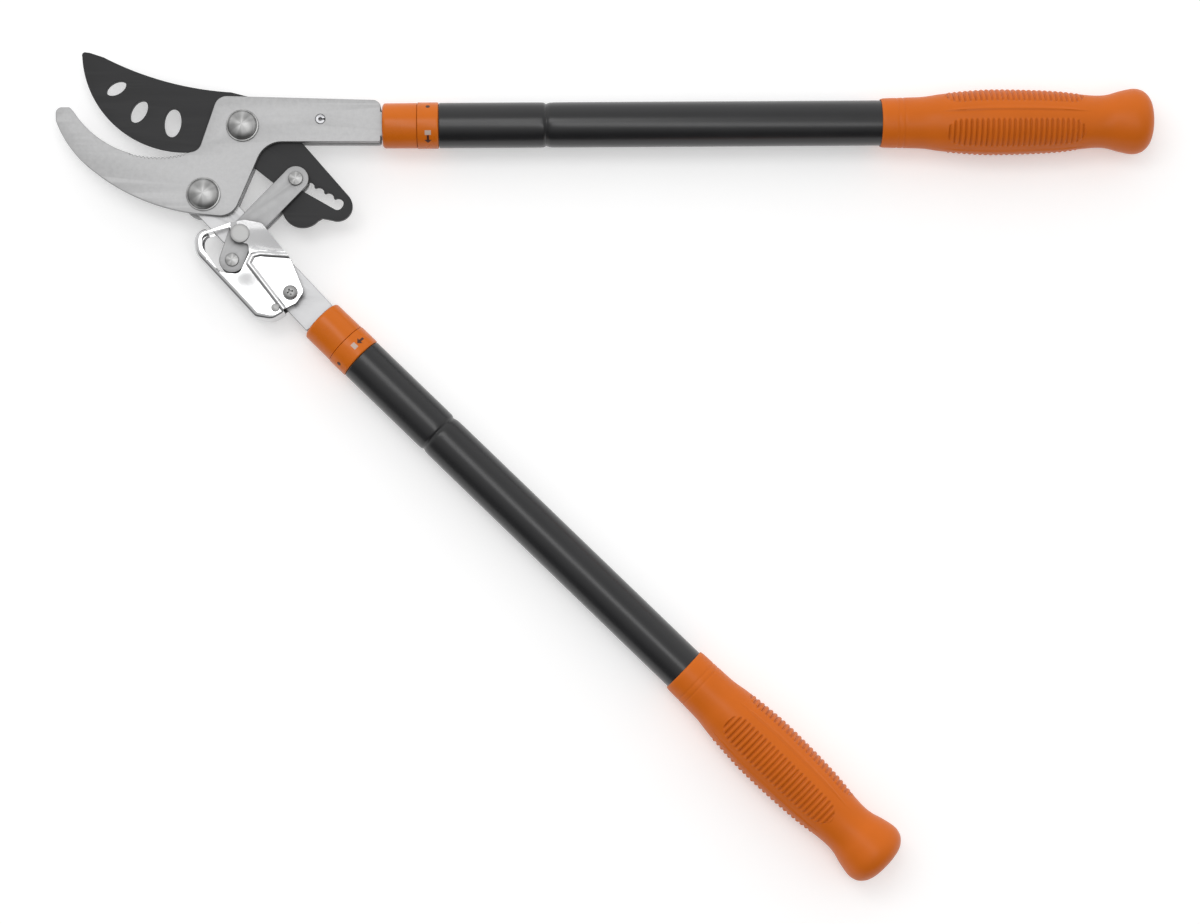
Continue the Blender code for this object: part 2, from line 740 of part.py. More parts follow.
def make_slider(prefix, slide):
    """The pieces that slide on the inner tube: outer tube, lock body, bush and grip."""
    tube_start = RING_END + GAP
    outer_tube = [
        (OUTER_TUBE_RADIUS, OUTER_TUBE_END),
        (OUTER_TUBE_RADIUS, CRIMP_PLACE + 2.2),
        (OUTER_TUBE_RADIUS - 0.7, CRIMP_PLACE + 0.7),
        (OUTER_TUBE_RADIUS - 0.7, CRIMP_PLACE - 0.7),
        (OUTER_TUBE_RADIUS, CRIMP_PLACE - 2.2),
        (OUTER_TUBE_RADIUS, tube_start),
        (OUTER_TUBE_BORE, tube_start),
        (OUTER_TUBE_BORE, OUTER_TUBE_END),
    ]
    turned(prefix + "_outer_tube", outer_tube, slide, BLACK_TUBE)
    bore = INNER_TUBE_RADIUS + GAP
    spigot = OUTER_TUBE_BORE - GAP
    lock_body = [
        (spigot, RING_END + 12.0),
        (spigot, RING_END),
        (RING_RADIUS - 0.5, RING_END),
        (RING_RADIUS, RING_END - 0.6),
        (RING_RADIUS, SLEEVE_LENGTH + GAP + 0.6),
        (RING_RADIUS - 0.5, SLEEVE_LENGTH + GAP),
        (12.6, SLEEVE_LENGTH + GAP),
        (12.6, 3.0),
        (bore, 3.0),
        (bore, RING_END + 12.0),
    ]
    turned(prefix + "_lock_body", lock_body, slide, ORANGE)
    guide = ring_profile(spigot, bore, CRIMP_PLACE - 7.0, CRIMP_PLACE + 7.0)
    turned(prefix + "_guide_bush", guide, slide, NYLON)
    grip_end = GRIP_START + GRIP_LENGTH
    lining = OUTER_TUBE_RADIUS + GAP
    outside = [(r, GRIP_START + along) for r, along in GRIP_PROFILE]
    crown = [(0.0, grip_end), (9.0, grip_end - 0.4), (14.0, grip_end - 2.0), (17.2, grip_end - 4.9)]
    bottom = OUTER_TUBE_END + 1.0
    inside = [(lining, GRIP_START), (lining, bottom), (0.0, bottom)]
    turned(prefix + "_grip", crown + outside + inside, slide, RUBBER)


def make_sleeve(prefix, frame):
    """The locking sleeve: it turns on the lock body and clamps the inner tube."""
    lip = INNER_TUBE_RADIUS + 0.35
    seat = 12.9
    sleeve = [
        (OUTER_TUBE_RADIUS, SLEEVE_LENGTH),
        (OUTER_TUBE_RADIUS, 1.6),
        (OUTER_TUBE_RADIUS - 0.5, 0.5),
        (OUTER_TUBE_RADIUS - 1.4, 0.0),
        (lip, 0.0),
        (lip, 2.4),
        (seat, 2.4),
        (seat, SLEEVE_LENGTH),
    ]
    turned(prefix + "_lock_sleeve", sleeve, frame, ORANGE)


def make_inner_tube(prefix, frame):
    """The fixed inner tube, the bush on its far end and the pin that holds it."""
    tube = ring_profile(INNER_TUBE_RADIUS, INNER_TUBE_BORE, INNER_TUBE_START, INNER_TUBE_END)
    made = turned(prefix + "_inner_tube", tube, frame, ALUMINIUM)
    across = (0.0, pi / 2, 0.0)
    cut(made, cross_hole(), frame, (0.0, 0.0, CROSS_PIN_PLACE), across)
    plug = INNER_TUBE_BORE - GAP
    bush = [
        (OUTER_TUBE_BORE - GAP, INNER_TUBE_END + 6.0),
        (OUTER_TUBE_BORE - GAP, INNER_TUBE_END + GAP),
        (plug, INNER_TUBE_END + GAP),
        (plug, INNER_TUBE_END - 16.0),
        (4.0, INNER_TUBE_END - 16.0),
        (4.0, INNER_TUBE_END + 6.0),
    ]
    turned(prefix + "_end_bush", bush, frame, NYLON)
    pin_mesh = cylinder_mesh(CROSS_PIN_RADIUS, 2 * INNER_TUBE_RADIUS - 0.2)
    pin = link_object(prefix + "_cross_pin", pin_mesh, frame, ZINC)
    pin.location = (0.0, 0.0, CROSS_PIN_PLACE * MM)
    pin.rotation_euler = across


def make_tongue_fillers(prefix, frame):
    """Two segments that fill the tube above and below the single lever bar."""
    low = BLADE_HALF + GAP
    radius = INNER_TUBE_BORE - GAP
    for side, turn in (("front", -pi / 2), ("back", pi / 2)):
        section = tube_section(low, radius - 0.6, radius)
        filler = link_object(prefix + "_filler_" + side, slab_mesh([section], 2.0, 40.0), frame, NYLON)
        filler.rotation_euler = (0.0, 0.0, turn)
        cut(filler, cross_hole(), frame, (0.0, 0.0, CROSS_PIN_PLACE), (0.0, pi / 2, 0.0))


def handle_matrix(front, angle):
    """Z along the tube, X up out of the cutting plane."""
    c, s = cos(radians(angle)), sin(radians(angle))
    turn = Matrix(((0.0, s, c, 0.0), (0.0, -c, s, 0.0), (1.0, 0.0, 0.0, 0.0), (0.0, 0.0, 0.0, 1.0)))
    place = Vector((HEAD_PLACE[0] + front[0], HEAD_PLACE[1] + front[1], HEAD_PLACE[2])) * MM
    return Matrix.Translation(place) @ turn


def make_handle(prefix, front, angle):
    frame = empty(prefix + "_handle_axis", None, handle_matrix(front, angle))
    make_inner_tube(prefix, frame)
    make_slider(prefix, frame)
    make_sleeve(prefix, frame)
    return frame


# ---------------------------------------------------------------- assembly


def pivot_empty(name, place):
    return empty(name, (HEAD_PLACE[0] + place[0], HEAD_PLACE[1] + place[1], HEAD_PLACE[2]))


made_finishes = {name: material(name, *values) for name, values in FINISHES.items()}
HOOK_STEEL = made_finishes["hook_steel"]
COATED_STEEL = made_finishes["coated_steel"]
LEVER_STEEL = made_finishes["lever_steel"]
POLISHED_STEEL = made_finishes["polished_steel"]
ZINC = made_finishes["zinc"]
SPRING_WIRE = made_finishes["spring_wire"]
BRONZE = made_finishes["bronze"]
BLACK_TUBE = made_finishes["black_tube"]
ALUMINIUM = made_finishes["aluminium"]
ORANGE = made_finishes["orange_plastic"]
RUBBER = made_finishes["orange_rubber"]
NYLON = made_finishes["nylon"]

make_head(pivot_empty("head_axis", BLADE_PIVOT), pivot_empty("blade_axis", BLADE_PIVOT))
make_lever(pivot_empty("lever_axis", LEVER_PIVOT))
link_axis = pivot_empty("link_axis", LINK_PIVOT)
make_link(link_axis)
make_spring(link_axis)
make_handle("upper", UPPER_FRONT, UPPER_ANGLE)
lower_axis = make_handle("lower", LOWER_FRONT, LOWER_ANGLE)
make_tongue_fillers("lower", lower_axis)
bpy.context.view_layer.update()
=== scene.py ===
"""The looks of a pair of ratchet bypass loppers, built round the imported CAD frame.

Sizes are in millimetres. Outlines of the head lie in its plane, with the blade pivot at (0, 0).
Pieces of a handle are made along +Z of a frame on their tube's axis, with +X up and +Y to the
right of someone looking from the head to the grip.
"""

import json
from math import acos, atan2, ceil, cos, degrees, exp, hypot, pi, radians, sin, sqrt, tan

import bmesh
import bpy
from mathutils import Matrix, Vector


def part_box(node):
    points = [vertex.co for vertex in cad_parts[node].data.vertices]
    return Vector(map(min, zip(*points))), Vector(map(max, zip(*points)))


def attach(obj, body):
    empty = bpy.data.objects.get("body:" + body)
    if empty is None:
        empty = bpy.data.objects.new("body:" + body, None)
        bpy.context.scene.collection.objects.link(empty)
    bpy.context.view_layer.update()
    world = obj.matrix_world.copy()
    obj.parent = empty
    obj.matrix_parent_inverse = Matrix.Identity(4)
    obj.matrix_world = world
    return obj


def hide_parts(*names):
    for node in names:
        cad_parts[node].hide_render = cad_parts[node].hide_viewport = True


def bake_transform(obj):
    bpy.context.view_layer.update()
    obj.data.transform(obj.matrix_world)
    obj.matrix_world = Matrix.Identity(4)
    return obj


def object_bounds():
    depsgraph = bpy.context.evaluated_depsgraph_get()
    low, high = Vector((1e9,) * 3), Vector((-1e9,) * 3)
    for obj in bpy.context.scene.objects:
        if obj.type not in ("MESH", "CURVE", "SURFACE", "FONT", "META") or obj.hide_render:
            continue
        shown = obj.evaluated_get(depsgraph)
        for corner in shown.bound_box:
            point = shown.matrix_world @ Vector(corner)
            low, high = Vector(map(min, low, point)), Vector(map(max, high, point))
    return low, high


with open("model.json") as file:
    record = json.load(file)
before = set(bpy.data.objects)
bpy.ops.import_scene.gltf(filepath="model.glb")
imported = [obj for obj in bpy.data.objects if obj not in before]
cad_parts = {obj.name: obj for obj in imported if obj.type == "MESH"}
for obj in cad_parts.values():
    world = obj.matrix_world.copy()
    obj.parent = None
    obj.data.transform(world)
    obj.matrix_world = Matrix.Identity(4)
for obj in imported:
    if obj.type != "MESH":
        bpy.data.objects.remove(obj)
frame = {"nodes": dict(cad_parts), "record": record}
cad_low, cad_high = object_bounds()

MM = 0.001

# ---- sizes, as in the design

BLADE_PIVOT = (0.0, 0.0)
LEVER_PIVOT = (-23.5, -43.0)
LINK_PIVOT = (-0.5, -68.0)
RATCHET_PIN = (33.0, -33.0)
SPRING_PIN = (-5.6, -83.7)
SPRING_ANCHOR = (21.4, -113.7)
GUARD_SCREW = (30.5, -104.4)
STOP_PIN = (47.9, 4.3)

BLADE_HALF = 2.25
PLATE_LOW = 2.6
PLATE_HIGH = 6.1
LINK_HIGH = 5.6
GUARD_LOW = 7.1
GUARD_HIGH = 8.3
GAP = 0.3

BOLT_RADIUS = 3.95
BUSH_RADIUS = 5.6
RIVET_RADIUS = 3.0
PIN_RADIUS = 2.5
SPRING_PIN_RADIUS = 1.9
SCREW_RADIUS = 2.0

UPPER_FRONT = (86.2, 1.35)
UPPER_ANGLE = 0.45
LOWER_FRONT = (48.6, -120.0)
LOWER_ANGLE = -44.13
TONGUE_HALF = 7.75
TONGUE_LENGTH = 42.0
INNER_TUBE_RADIUS = 11.6
INNER_TUBE_BORE = 10.4
INNER_TUBE_START = 1.0
INNER_TUBE_END = 441.0
OUTER_TUBE_RADIUS = 14.0
OUTER_TUBE_BORE = 12.7
OUTER_TUBE_END = 472.0
SLEEVE_LENGTH = 21.3
RING_END = 34.6
RING_RADIUS = 14.35
CRIMP_PLACE = 101.0
GRIP_START = 309.0
CROSS_PIN_PLACE = 22.0

CHORD_ERROR = 0.004  # how far a facet may lie inside its round

# ---- the frame's places and names

BODIES = frame["record"]["behaviour"]["bodies"]
BODY_OF = {node: body for body, nodes in BODIES.items() for node in nodes}
SLOT_OF = {part["node"]: part["material_slot"] for part in frame["record"]["subparts"]}


def middle(node):
    """The middle of a CAD node's box."""
    low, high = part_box(node)
    return (low + high) / 2


def handle_frame(prefix):
    """Z along the tube from the front of its locking sleeve, X up out of the cutting plane."""
    pin = middle(prefix + "_cross_pin")
    along = (middle(prefix + "_inner_tube") - pin).normalized()
    up = Vector((0.0, 0.0, 1.0))
    turn = Matrix((up, along.cross(up), along)).transposed().to_4x4()
    return Matrix.Translation(pin - along * CROSS_PIN_PLACE * MM) @ turn


HEAD = Matrix.Translation(middle("blade_bush"))
HANDLES = {prefix: handle_frame(prefix) for prefix in ("upper", "lower")}


def at(place):
    """The head's frame moved to a point of its plane."""
    return HEAD @ Matrix.Translation((place[0] * MM, place[1] * MM, 0.0))


# ---- outlines


def facet_angle(radius):
    """The angle that one facet of a round covers, in degrees."""
    return degrees(2 * acos(max(0.8, 1 - CHORD_ERROR / radius)))


def arc(centre, radius, start, end, step=None):
    """Points on a circle from one angle to another, in degrees."""
    count = max(2, ceil(abs(end - start) / (step or facet_angle(radius))))
    turns = [radians(start + (end - start) * i / count) for i in range(count + 1)]
    return [(centre[0] + radius * cos(t), centre[1] + radius * sin(t)) for t in turns]


def circle(centre, radius, count=None):
    sides = count or ceil(360.0 / facet_angle(radius))
    return arc(centre, radius, 0.0, 360.0 - 360.0 / sides, 360.0 / sides)[:sides]


def ellipse(centre, long_half, short_half, tilt, count=72):
    """An ellipse whose long axis is turned by tilt degrees from +X."""
    c, s = cos(radians(tilt)), sin(radians(tilt))
    flat = [(long_half * x, short_half * y) for x, y in circle((0, 0), 1.0, count)]
    return [(centre[0] + x * c - y * s, centre[1] + x * s + y * c) for x, y in flat]


def rounded(corners, closed=True):
    """An outline: each corner is (x, y) for a sharp one or (x, y, radius) for a round one."""
    points = []
    total = len(corners)
    for i, corner in enumerate(corners):
        here = Vector(corner[:2])
        open_end = not closed and i in (0, total - 1)
        if len(corner) == 2 or open_end:
            points.append(tuple(here))
            continue
        before = (Vector(corners[i - 1][:2]) - here).normalized()
        after = (Vector(corners[(i + 1) % total][:2]) - here).normalized()
        half = before.angle(after) / 2
        centre = here + (before + after).normalized() * corner[2] / sin(half)
        first = here + before * corner[2] / tan(half) - centre
        last = here + after * corner[2] / tan(half) - centre
        start = degrees(atan2(first.y, first.x))
        turn = (degrees(atan2(last.y, last.x)) - start + 180.0) % 360.0 - 180.0
        points += arc(centre, corner[2], start, start + turn)
    return points


def offset_point(origin, angle, along, left):
    """A point at a distance along a direction and to its left."""
    c, s = cos(radians(angle)), sin(radians(angle))
    return (origin[0] + along * c - left * s, origin[1] + along * s + left * c)


def bearing(start, end):
    """The direction from one point to another, in degrees."""
    return degrees(atan2(end[1] - start[1], end[0] - start[0]))


def tongue_corners(front, angle, shoulder):
    """The end of a plate that goes into an inner tube."""
    corners = ((shoulder, -1), (TONGUE_LENGTH, -1), (TONGUE_LENGTH, 1), (shoulder, 1))
    return [offset_point(front, angle, along, side * TONGUE_HALF) for along, side in corners]


TANG_END = 85.2


def tang_corners():
    """The neck and the tang, counter-clockwise from the lobe's right to the jaw's root."""
    return [
        (-5.9, -57.2, 12.0), (13.8, -10.0, 16.0), (TANG_END, -10.0, 1.5),
        *tongue_corners(UPPER_FRONT, UPPER_ANGLE, TANG_END - UPPER_FRONT[0]),
        (TANG_END, 16.35, 5.0), (-15.4, 18.8, 8.0),
    ]


ANVIL_CENTRE = (-51.8, 42.1)
ANVIL_RADIUS = 61.8
SERRATION_FROM = 254.0  # degrees round the anvil's centre
SERRATION_TO = 285.0
SERRATION_PITCH = 2.4
SERRATION_DEPTH = 1.0


def serrated_arc():
    """The hook's inner edge, with fine rounded teeth near its root."""
    points = arc(ANVIL_CENTRE, ANVIL_RADIUS, 286.0, SERRATION_TO)
    pitch = degrees(SERRATION_PITCH / ANVIL_RADIUS)
    teeth = round((SERRATION_TO - SERRATION_FROM) / pitch)
    steps = 10
    for i in range(1, teeth * steps):
        angle = SERRATION_TO - (SERRATION_TO - SERRATION_FROM) * i / (teeth * steps)
        wave = abs(sin(pi * i / steps))
        points += arc(ANVIL_CENTRE, ANVIL_RADIUS + SERRATION_DEPTH * (1 - wave), angle, angle)[:1]
    return points + arc(ANVIL_CENTRE, ANVIL_RADIUS, SERRATION_FROM, 213.0)


def hook_outline():
    return rounded([
        *tang_corners(),
        (-26.6, -15.4, 7.0),
        *serrated_arc(),
        (-106.2, 11.4, 1.8), (-115.0, 11.4, 3.8),
        *arc((-49.3, 27.3), 69.7, 200.5, 235.0),
        *arc((-12.4, 70.5), 126.5, 234.0, 262.0),
    ])


def back_outline():
    return rounded([*tang_corners(), (-25.5, -12.0, 15.0), (-36.8, -36.0, 20.0), (-36.8, -57.2, 12.5)])


EDGE_CENTRE = (-35.5, 48.1)  # of the blade's curved cutting edge
EDGE_RADIUS = 64.3


def blade_outline():
    """The cutting blade and, past its pivot, the tail that carries the ratchet slot."""
    return rounded([
        *arc(EDGE_CENTRE, EDGE_RADIUS, 184.0, 284.0),
        (-5.5, -15.1, 10.0), (22.6, -37.6, 8.0),
        *arc((37.0, -49.9), 12.8, 197.0, 318.0),
        (49.4, -56.9),
        *arc((58.4, -49.3), 9.3, 250.0, 400.0),
        (13.5, 16.6, 12.0), (2.0, 19.4),
        *arc((4.4, 218.2), 196.7, 266.5, 242.5),
        (-95.0, 46.6, 8.0), (-100.1, 47.2, 1.8),
    ])


BLADE_WINDOWS = [
    ((-78.4, 24.3), 6.6, 3.9, 30.0), ((-64.2, 9.7), 7.6, 4.6, 62.0), ((-43.4, 2.7), 9.1, 5.3, 86.0),
]

SLOT_ANGLE = -29.7
NOTCH_PITCH = 6.9
NOTCH_RADIUS = 3.35
SLOT_LENGTH = 29.8
SLOT_LOW = -4.2
SLOT_REAR = -4.1
CUSP_ANGLE = 27.5


def ratchet_slot():
    """A slot with a straight lower edge and a notched upper one."""
    shape = [(SLOT_REAR, SLOT_LOW, 3.4), (SLOT_LENGTH + 3.1, SLOT_LOW, 3.2)]
    shape += arc((SLOT_LENGTH, 0.0), NOTCH_RADIUS, 0.0, 180.0 - CUSP_ANGLE)
    for k in range(1, 4):
        notch = (SLOT_LENGTH - k * NOTCH_PITCH, 0.0)
        shape += arc(notch, NOTCH_RADIUS, CUSP_ANGLE, 180.0 - CUSP_ANGLE)
    shape += [(4.8, 3.4, 2.5), (SLOT_REAR, 3.4, 3.4)]
    return [offset_point(RATCHET_PIN, SLOT_ANGLE, u, v) for u, v in rounded(shape)]


LINK_HALF = 7.9


def link_outline():
    """A bell crank: a long arm to the ratchet pin and a short one to the spring."""
    down = bearing(RATCHET_PIN, LINK_PIVOT)
    arm = bearing(LINK_PIVOT, SPRING_PIN)
    between = (down + arm) / 2
    reach = LINK_HALF / cos(radians(arm - down) / 2)
    end = LINK_HALF - 0.01
    return rounded([(*offset_point(*place), radius) for *place, radius in (
        (RATCHET_PIN, down, -LINK_HALF, -LINK_HALF, end), (LINK_PIVOT, between, 0.0, -reach, 12.0),
        (SPRING_PIN, arm, LINK_HALF, -LINK_HALF, end), (SPRING_PIN, arm, LINK_HALF, LINK_HALF, end),
        (LINK_PIVOT, between, 0.0, reach, 10.0), (RATCHET_PIN, down, -LINK_HALF, LINK_HALF, end),
    )])


LEVER_HALF = 11.15
SHOULDER = -0.6
RELIEF_FROM = 32.5  # of the hollow for the spring pin, along the lever
RELIEF_TO = 56.5
RELIEF_FLOOR = -5.4
RELIEF_SLOPE = 5.0


def lever_outline():
    """A straight bar with a round end, a relief for the spring pin, and a tongue."""
    way = bearing(LEVER_PIVOT, LOWER_FRONT)
    length = hypot(LOWER_FRONT[0] - LEVER_PIVOT[0], LOWER_FRONT[1] - LEVER_PIVOT[1]) + SHOULDER
    end = LEVER_HALF - 0.05
    corners = [(*offset_point(LEVER_PIVOT, way, along, left), radius) for along, left, radius in (
        (-LEVER_HALF, LEVER_HALF, end), (-LEVER_HALF, -LEVER_HALF, end),
        (RELIEF_FROM, -LEVER_HALF, 1.5), (RELIEF_FROM + RELIEF_SLOPE, RELIEF_FLOOR, 4.0),
        (RELIEF_TO - RELIEF_SLOPE, RELIEF_FLOOR, 4.0), (RELIEF_TO, -LEVER_HALF, 1.5),
        (length, -LEVER_HALF, 1.5), (length, LEVER_HALF, 1.5),
    )]
    tongue = tongue_corners(LOWER_FRONT, LOWER_ANGLE, SHOULDER)
    return rounded(corners[:-1] + tongue + corners[-1:])


# ---- meshes


def shaded(mesh, sharp=15.0):
    mesh.shade_smooth()
    mesh.set_sharp_from_angle(angle=radians(sharp))
    return mesh


def in_scene(name, data):
    made = bpy.data.objects.new(name, data)
    bpy.context.scene.collection.objects.link(made)
    return made


def evaluated(thing):
    """An object's mesh with its modifiers applied."""
    bpy.context.view_layer.update()
    graph = bpy.context.evaluated_depsgraph_get()
    return bpy.data.meshes.new_from_object(thing.evaluated_get(graph))


def slab(outlines, low, high, bevel=0.0):
    """A flat plate between two heights, with rounded rims; outlines after the first are holes."""
    curve = bpy.data.curves.new("slab", "CURVE")
    curve.dimensions = "2D"
    curve.fill_mode = "BOTH"
    curve.extrude = ((high - low) / 2 - bevel) * MM
    curve.bevel_depth = bevel * MM
    curve.bevel_resolution = 2
    curve.offset = -bevel * MM
    for outline in outlines:
        spline = curve.splines.new("POLY")
        spline.points.add(len(outline) - 1)
        for point, (x, y) in zip(spline.points, outline):
            point.co = (x * MM, y * MM, 0.0, 1.0)
        spline.use_cyclic_u = True
    return welded(curve, Matrix.Translation((0, 0, (low + high) / 2 * MM)))


def welded(curve, move):
    """A curve as a closed mesh."""
    guide = in_scene("guide", curve)
    mesh = evaluated(guide)
    bpy.data.objects.remove(guide, do_unlink=True)
    body = bmesh.new()
    body.from_mesh(mesh)
    bmesh.ops.remove_doubles(body, verts=body.verts, dist=0.000001)
    bmesh.ops.transform(body, matrix=move, verts=body.verts)
    bmesh.ops.recalc_face_normals(body, faces=body.faces)
    body.to_mesh(mesh)
    body.free()
    return shaded(mesh)


def skin(rings, close_rows, caps=False):
    """Faces over rows of vertex numbers; a row of one number is a pole."""
    faces = []
    pairs = list(zip(rings, rings[1:])) + ([(rings[-1], rings[0])] if close_rows else [])
    for first, second in pairs:
        columns = max(len(first), len(second))
        for k in range(columns):
            after = (k + 1) % columns
            corners = []
            for ring, index in ((first, k), (second, k), (second, after), (first, after)):
                number = ring[index % len(ring)]
                if number not in corners:
                    corners.append(number)
            faces.append(corners)
    if caps:
        faces += [list(rings[0])[::-1], list(rings[-1])]
    return faces


def lathe(profile, columns=96, shape=None, sharp=25.0):
    """A turned mesh about Z from (radius, height) points, down its outer side from the top.
    shape(turn, radius, height) may change the radius of a point, turn in degrees."""
    vertices, rings = [], []
    for radius, height in profile:
        count = columns if radius > 0 else 1
        rings.append(range(len(vertices), len(vertices) + count))
        for k in range(count):
            turn = 360.0 * k / columns
            r = shape(turn, radius, height) if shape and radius > 0 else radius
            vertices.append((r * cos(radians(turn)) * MM, r * sin(radians(turn)) * MM, height * MM))
    mesh = bpy.data.meshes.new("lathe")
    mesh.from_pydata(vertices, [], skin(rings, profile[0][0] > 0))
    return shaded(mesh, sharp)


def sweep(sections, sharp=25.0):
    """A solid through a row of closed sections, each a list of points in mm, with flat ends."""
    vertices = [Vector(point) * MM for section in sections for point in section]
    width = len(sections[0])
    rings = [range(i * width, (i + 1) * width) for i in range(len(sections))]
    mesh = bpy.data.meshes.new("sweep")
    mesh.from_pydata(vertices, [], skin(rings, False, caps=True))
    body = bmesh.new()
    body.from_mesh(mesh)
    bmesh.ops.recalc_face_normals(body, faces=body.faces)
    body.to_mesh(mesh)
    body.free()
    return shaded(mesh, sharp)


def cut_by(mesh, tool, sharp=15.0):
    """A mesh with another taken out of it. The tool's material comes along."""
    objects = [in_scene("operand", each) for each in (mesh, tool)]
    boolean = objects[0].modifiers.new("cut", "BOOLEAN")
    boolean.operation = "DIFFERENCE"
    boolean.solver = "EXACT"
    boolean.material_mode = "TRANSFER"
    boolean.object = objects[1]
    made = evaluated(objects[0])
    for each in objects:
        bpy.data.objects.remove(each, do_unlink=True)
    return shaded(made, sharp)


# ---- materials


def nodes_of(material):
    tree = material.node_tree
    return tree, tree.nodes["Principled BSDF"]


def add(tree, kind, inputs=(), **settings):
    """A shader node; inputs are pairs of socket and value or link."""
    made = tree.nodes.new("ShaderNode" + kind)
    for name, value in settings.items():
        setattr(made, name, value)
    for name, value in inputs:
        if isinstance(value, bpy.types.NodeSocket):
            tree.links.new(value, made.inputs[name])
        else:
            made.inputs[name].default_value = value
    return made


def mapped_noise(tree, scale, stretch=(1.0, 1.0, 1.0), detail=4.0):
    """Noise in object space; scale is in features per metre and stretch thins it along an axis."""
    place = add(tree, "TexCoord").outputs["Object"]
    mapping = add(tree, "Mapping", [("Vector", place), ("Scale", stretch)])
    return add(tree, "TexNoise", [
        ("Vector", mapping.outputs["Vector"]),
        ("Scale", scale),
        ("Detail", detail),
        ("Roughness", 0.6),
    ]).outputs["Fac"]


def sector_reflection_and_gloss(tree):
    """Noise that changes only with the direction from the Z axis: painted reflection sectors of a spun face
    in the colour, and uneven gloss.
    """
    place = add(tree, "TexCoord").outputs["Object"]
    flat = add(tree, "VectorMath", [(0, place), (1, (1.0, 1.0, 0.0))], operation="MULTIPLY")
    way = add(tree, "VectorMath", [(0, flat.outputs["Vector"])], operation="NORMALIZE")
    noise = add(tree, "TexNoise", [
        ("Vector", way.outputs["Vector"]),
        ("Scale", 1.5),
        ("Detail", 0.6),
    ])
    return noise.outputs["Fac"]


def remap(tree, value, low, high, from_low=0.3, from_high=0.7):
    return add(tree, "MapRange", [
        ("Value", value),
        ("From Min", from_low),
        ("From Max", from_high),
        ("To Min", low),
        ("To Max", high),
    ]).outputs["Result"]


def tint(tree, factor, first, second):
    """A colour between two, by a factor."""
    mix = add(tree, "Mix", [("Factor", factor)], data_type="RGBA")
    sockets = [s for s in mix.inputs if s.type == "RGBA"]
    for socket, colour in zip(sockets, (first, second)):
        if isinstance(colour, bpy.types.NodeSocket):
            tree.links.new(colour, socket)
        else:
            socket.default_value = (*colour, 1.0)
    return next(s for s in mix.outputs if s.type == "RGBA")


def edge_mask(tree, radius, low, high):
    """Where a surface turns a corner within a radius, from 0 to 1."""
    bevel = add(tree, "Bevel", [("Radius", radius * MM)], samples=6)
    normal = add(tree, "NewGeometry").outputs["Normal"]
    pair = [(0, bevel.outputs["Normal"]), (1, normal)]
    dot = add(tree, "VectorMath", pair, operation="DOT_PRODUCT")
    return remap(tree, dot.outputs["Value"], 1.0, 0.0, low, high)


def scaled(colour, factor):
    return tuple(c * factor for c in colour)


def surface(name, colour, metallic, roughness, spread=0.05, cloud=0.06, cloud_scale=40.0,
            grain=1500.0, stretch=(1.0, 1.0, 1.0), bump=0.15, depth=0.02, wear=None, sockets=(),
            spun=False, groove=None):
    """A finish with cloudy colour, uneven gloss and a fine grain.
    wear is (colour, radius, share) for edges rubbed to another colour, and a spun surface has
    its polishing marks in rings about Z and painted reflection sectors in its colour; groove is
    (reach, share) for painted shade that darkens the colour in hollows, creases and under other parts."""
    material = bpy.data.materials.new(name)
    material.use_nodes = True
    tree, shader = nodes_of(material)
    shader.inputs["Metallic"].default_value = metallic
    for socket, value in sockets:
        shader.inputs[socket].default_value = value
    clouds = remap(tree, mapped_noise(tree, cloud_scale, detail=3.0), 0.0, 1.0)
    # painted reflection: the colour goes lighter and darker by sector round Z, like the reflections on a
    # spun face; the same values vary the gloss
    if spun:
        clouds = remap(tree, sector_reflection_and_gloss(tree), 0.0, 1.0, 0.35, 0.65)
    base = tint(tree, clouds, scaled(colour, 1 - cloud), scaled(colour, 1 + cloud))
    fine = mapped_noise(tree, grain, stretch)
    gloss = add(tree, "Math", [(0, fine), (1, clouds), (2, 0.0)], operation="MULTIPLY_ADD")
    rough = remap(tree, gloss.outputs["Value"], roughness - spread, roughness + spread, 0.05, 0.6)
    if wear:
        worn_colour, radius, share = wear
        patches = mapped_noise(tree, 700.0)
        edges = add(tree, "Math", [(0, edge_mask(tree, radius, 0.7, 0.98)), (1, patches)],
                    operation="MULTIPLY")
        mask = remap(tree, edges.outputs["Value"], 0.0, share, 0.1, 0.7)
        base = tint(tree, mask, base, worn_colour)
    # painted shade: ambient occlusion darkens the base colour in hollows, creases and under nearby parts
    if groove:
        reach, share = groove
        hollow = add(tree, "AmbientOcclusion", [("Distance", reach * MM)], samples=8)
        painted_shade_factor = remap(tree, hollow.outputs["AO"], 1 - share, 1.0, 0.35, 0.95)
        darker = add(tree, "VectorMath", [(0, base), ("Scale", painted_shade_factor)], operation="SCALE")
        base = darker.outputs["Vector"]
    tree.links.new(base, shader.inputs["Base Color"])
    tree.links.new(rough, shader.inputs["Roughness"])
    relief = add(tree, "Bump", [("Height", fine), ("Strength", bump), ("Distance", depth * MM)])
    tree.links.new(relief.outputs["Normal"], shader.inputs["Normal"])
    if spun:
        rings = add(tree, "Tangent", direction_type="RADIAL", axis="Z")
        tree.links.new(rings.outputs["Tangent"], shader.inputs["Tangent"])
    return material


COATED = surface("coated_blade", (0.026, 0.026, 0.027), 0.0, 0.5, cloud=0.1, grain=2200.0, bump=0.25,
                 wear=((0.1, 0.1, 0.1), 0.35, 0.5), sockets=[("Specular IOR Level", 0.22)])
GROUND = surface("ground_steel", (0.45, 0.45, 0.46), 1.0, 0.28, grain=1400.0, stretch=(1.0, 0.05, 1.0),
                 bump=0.3)
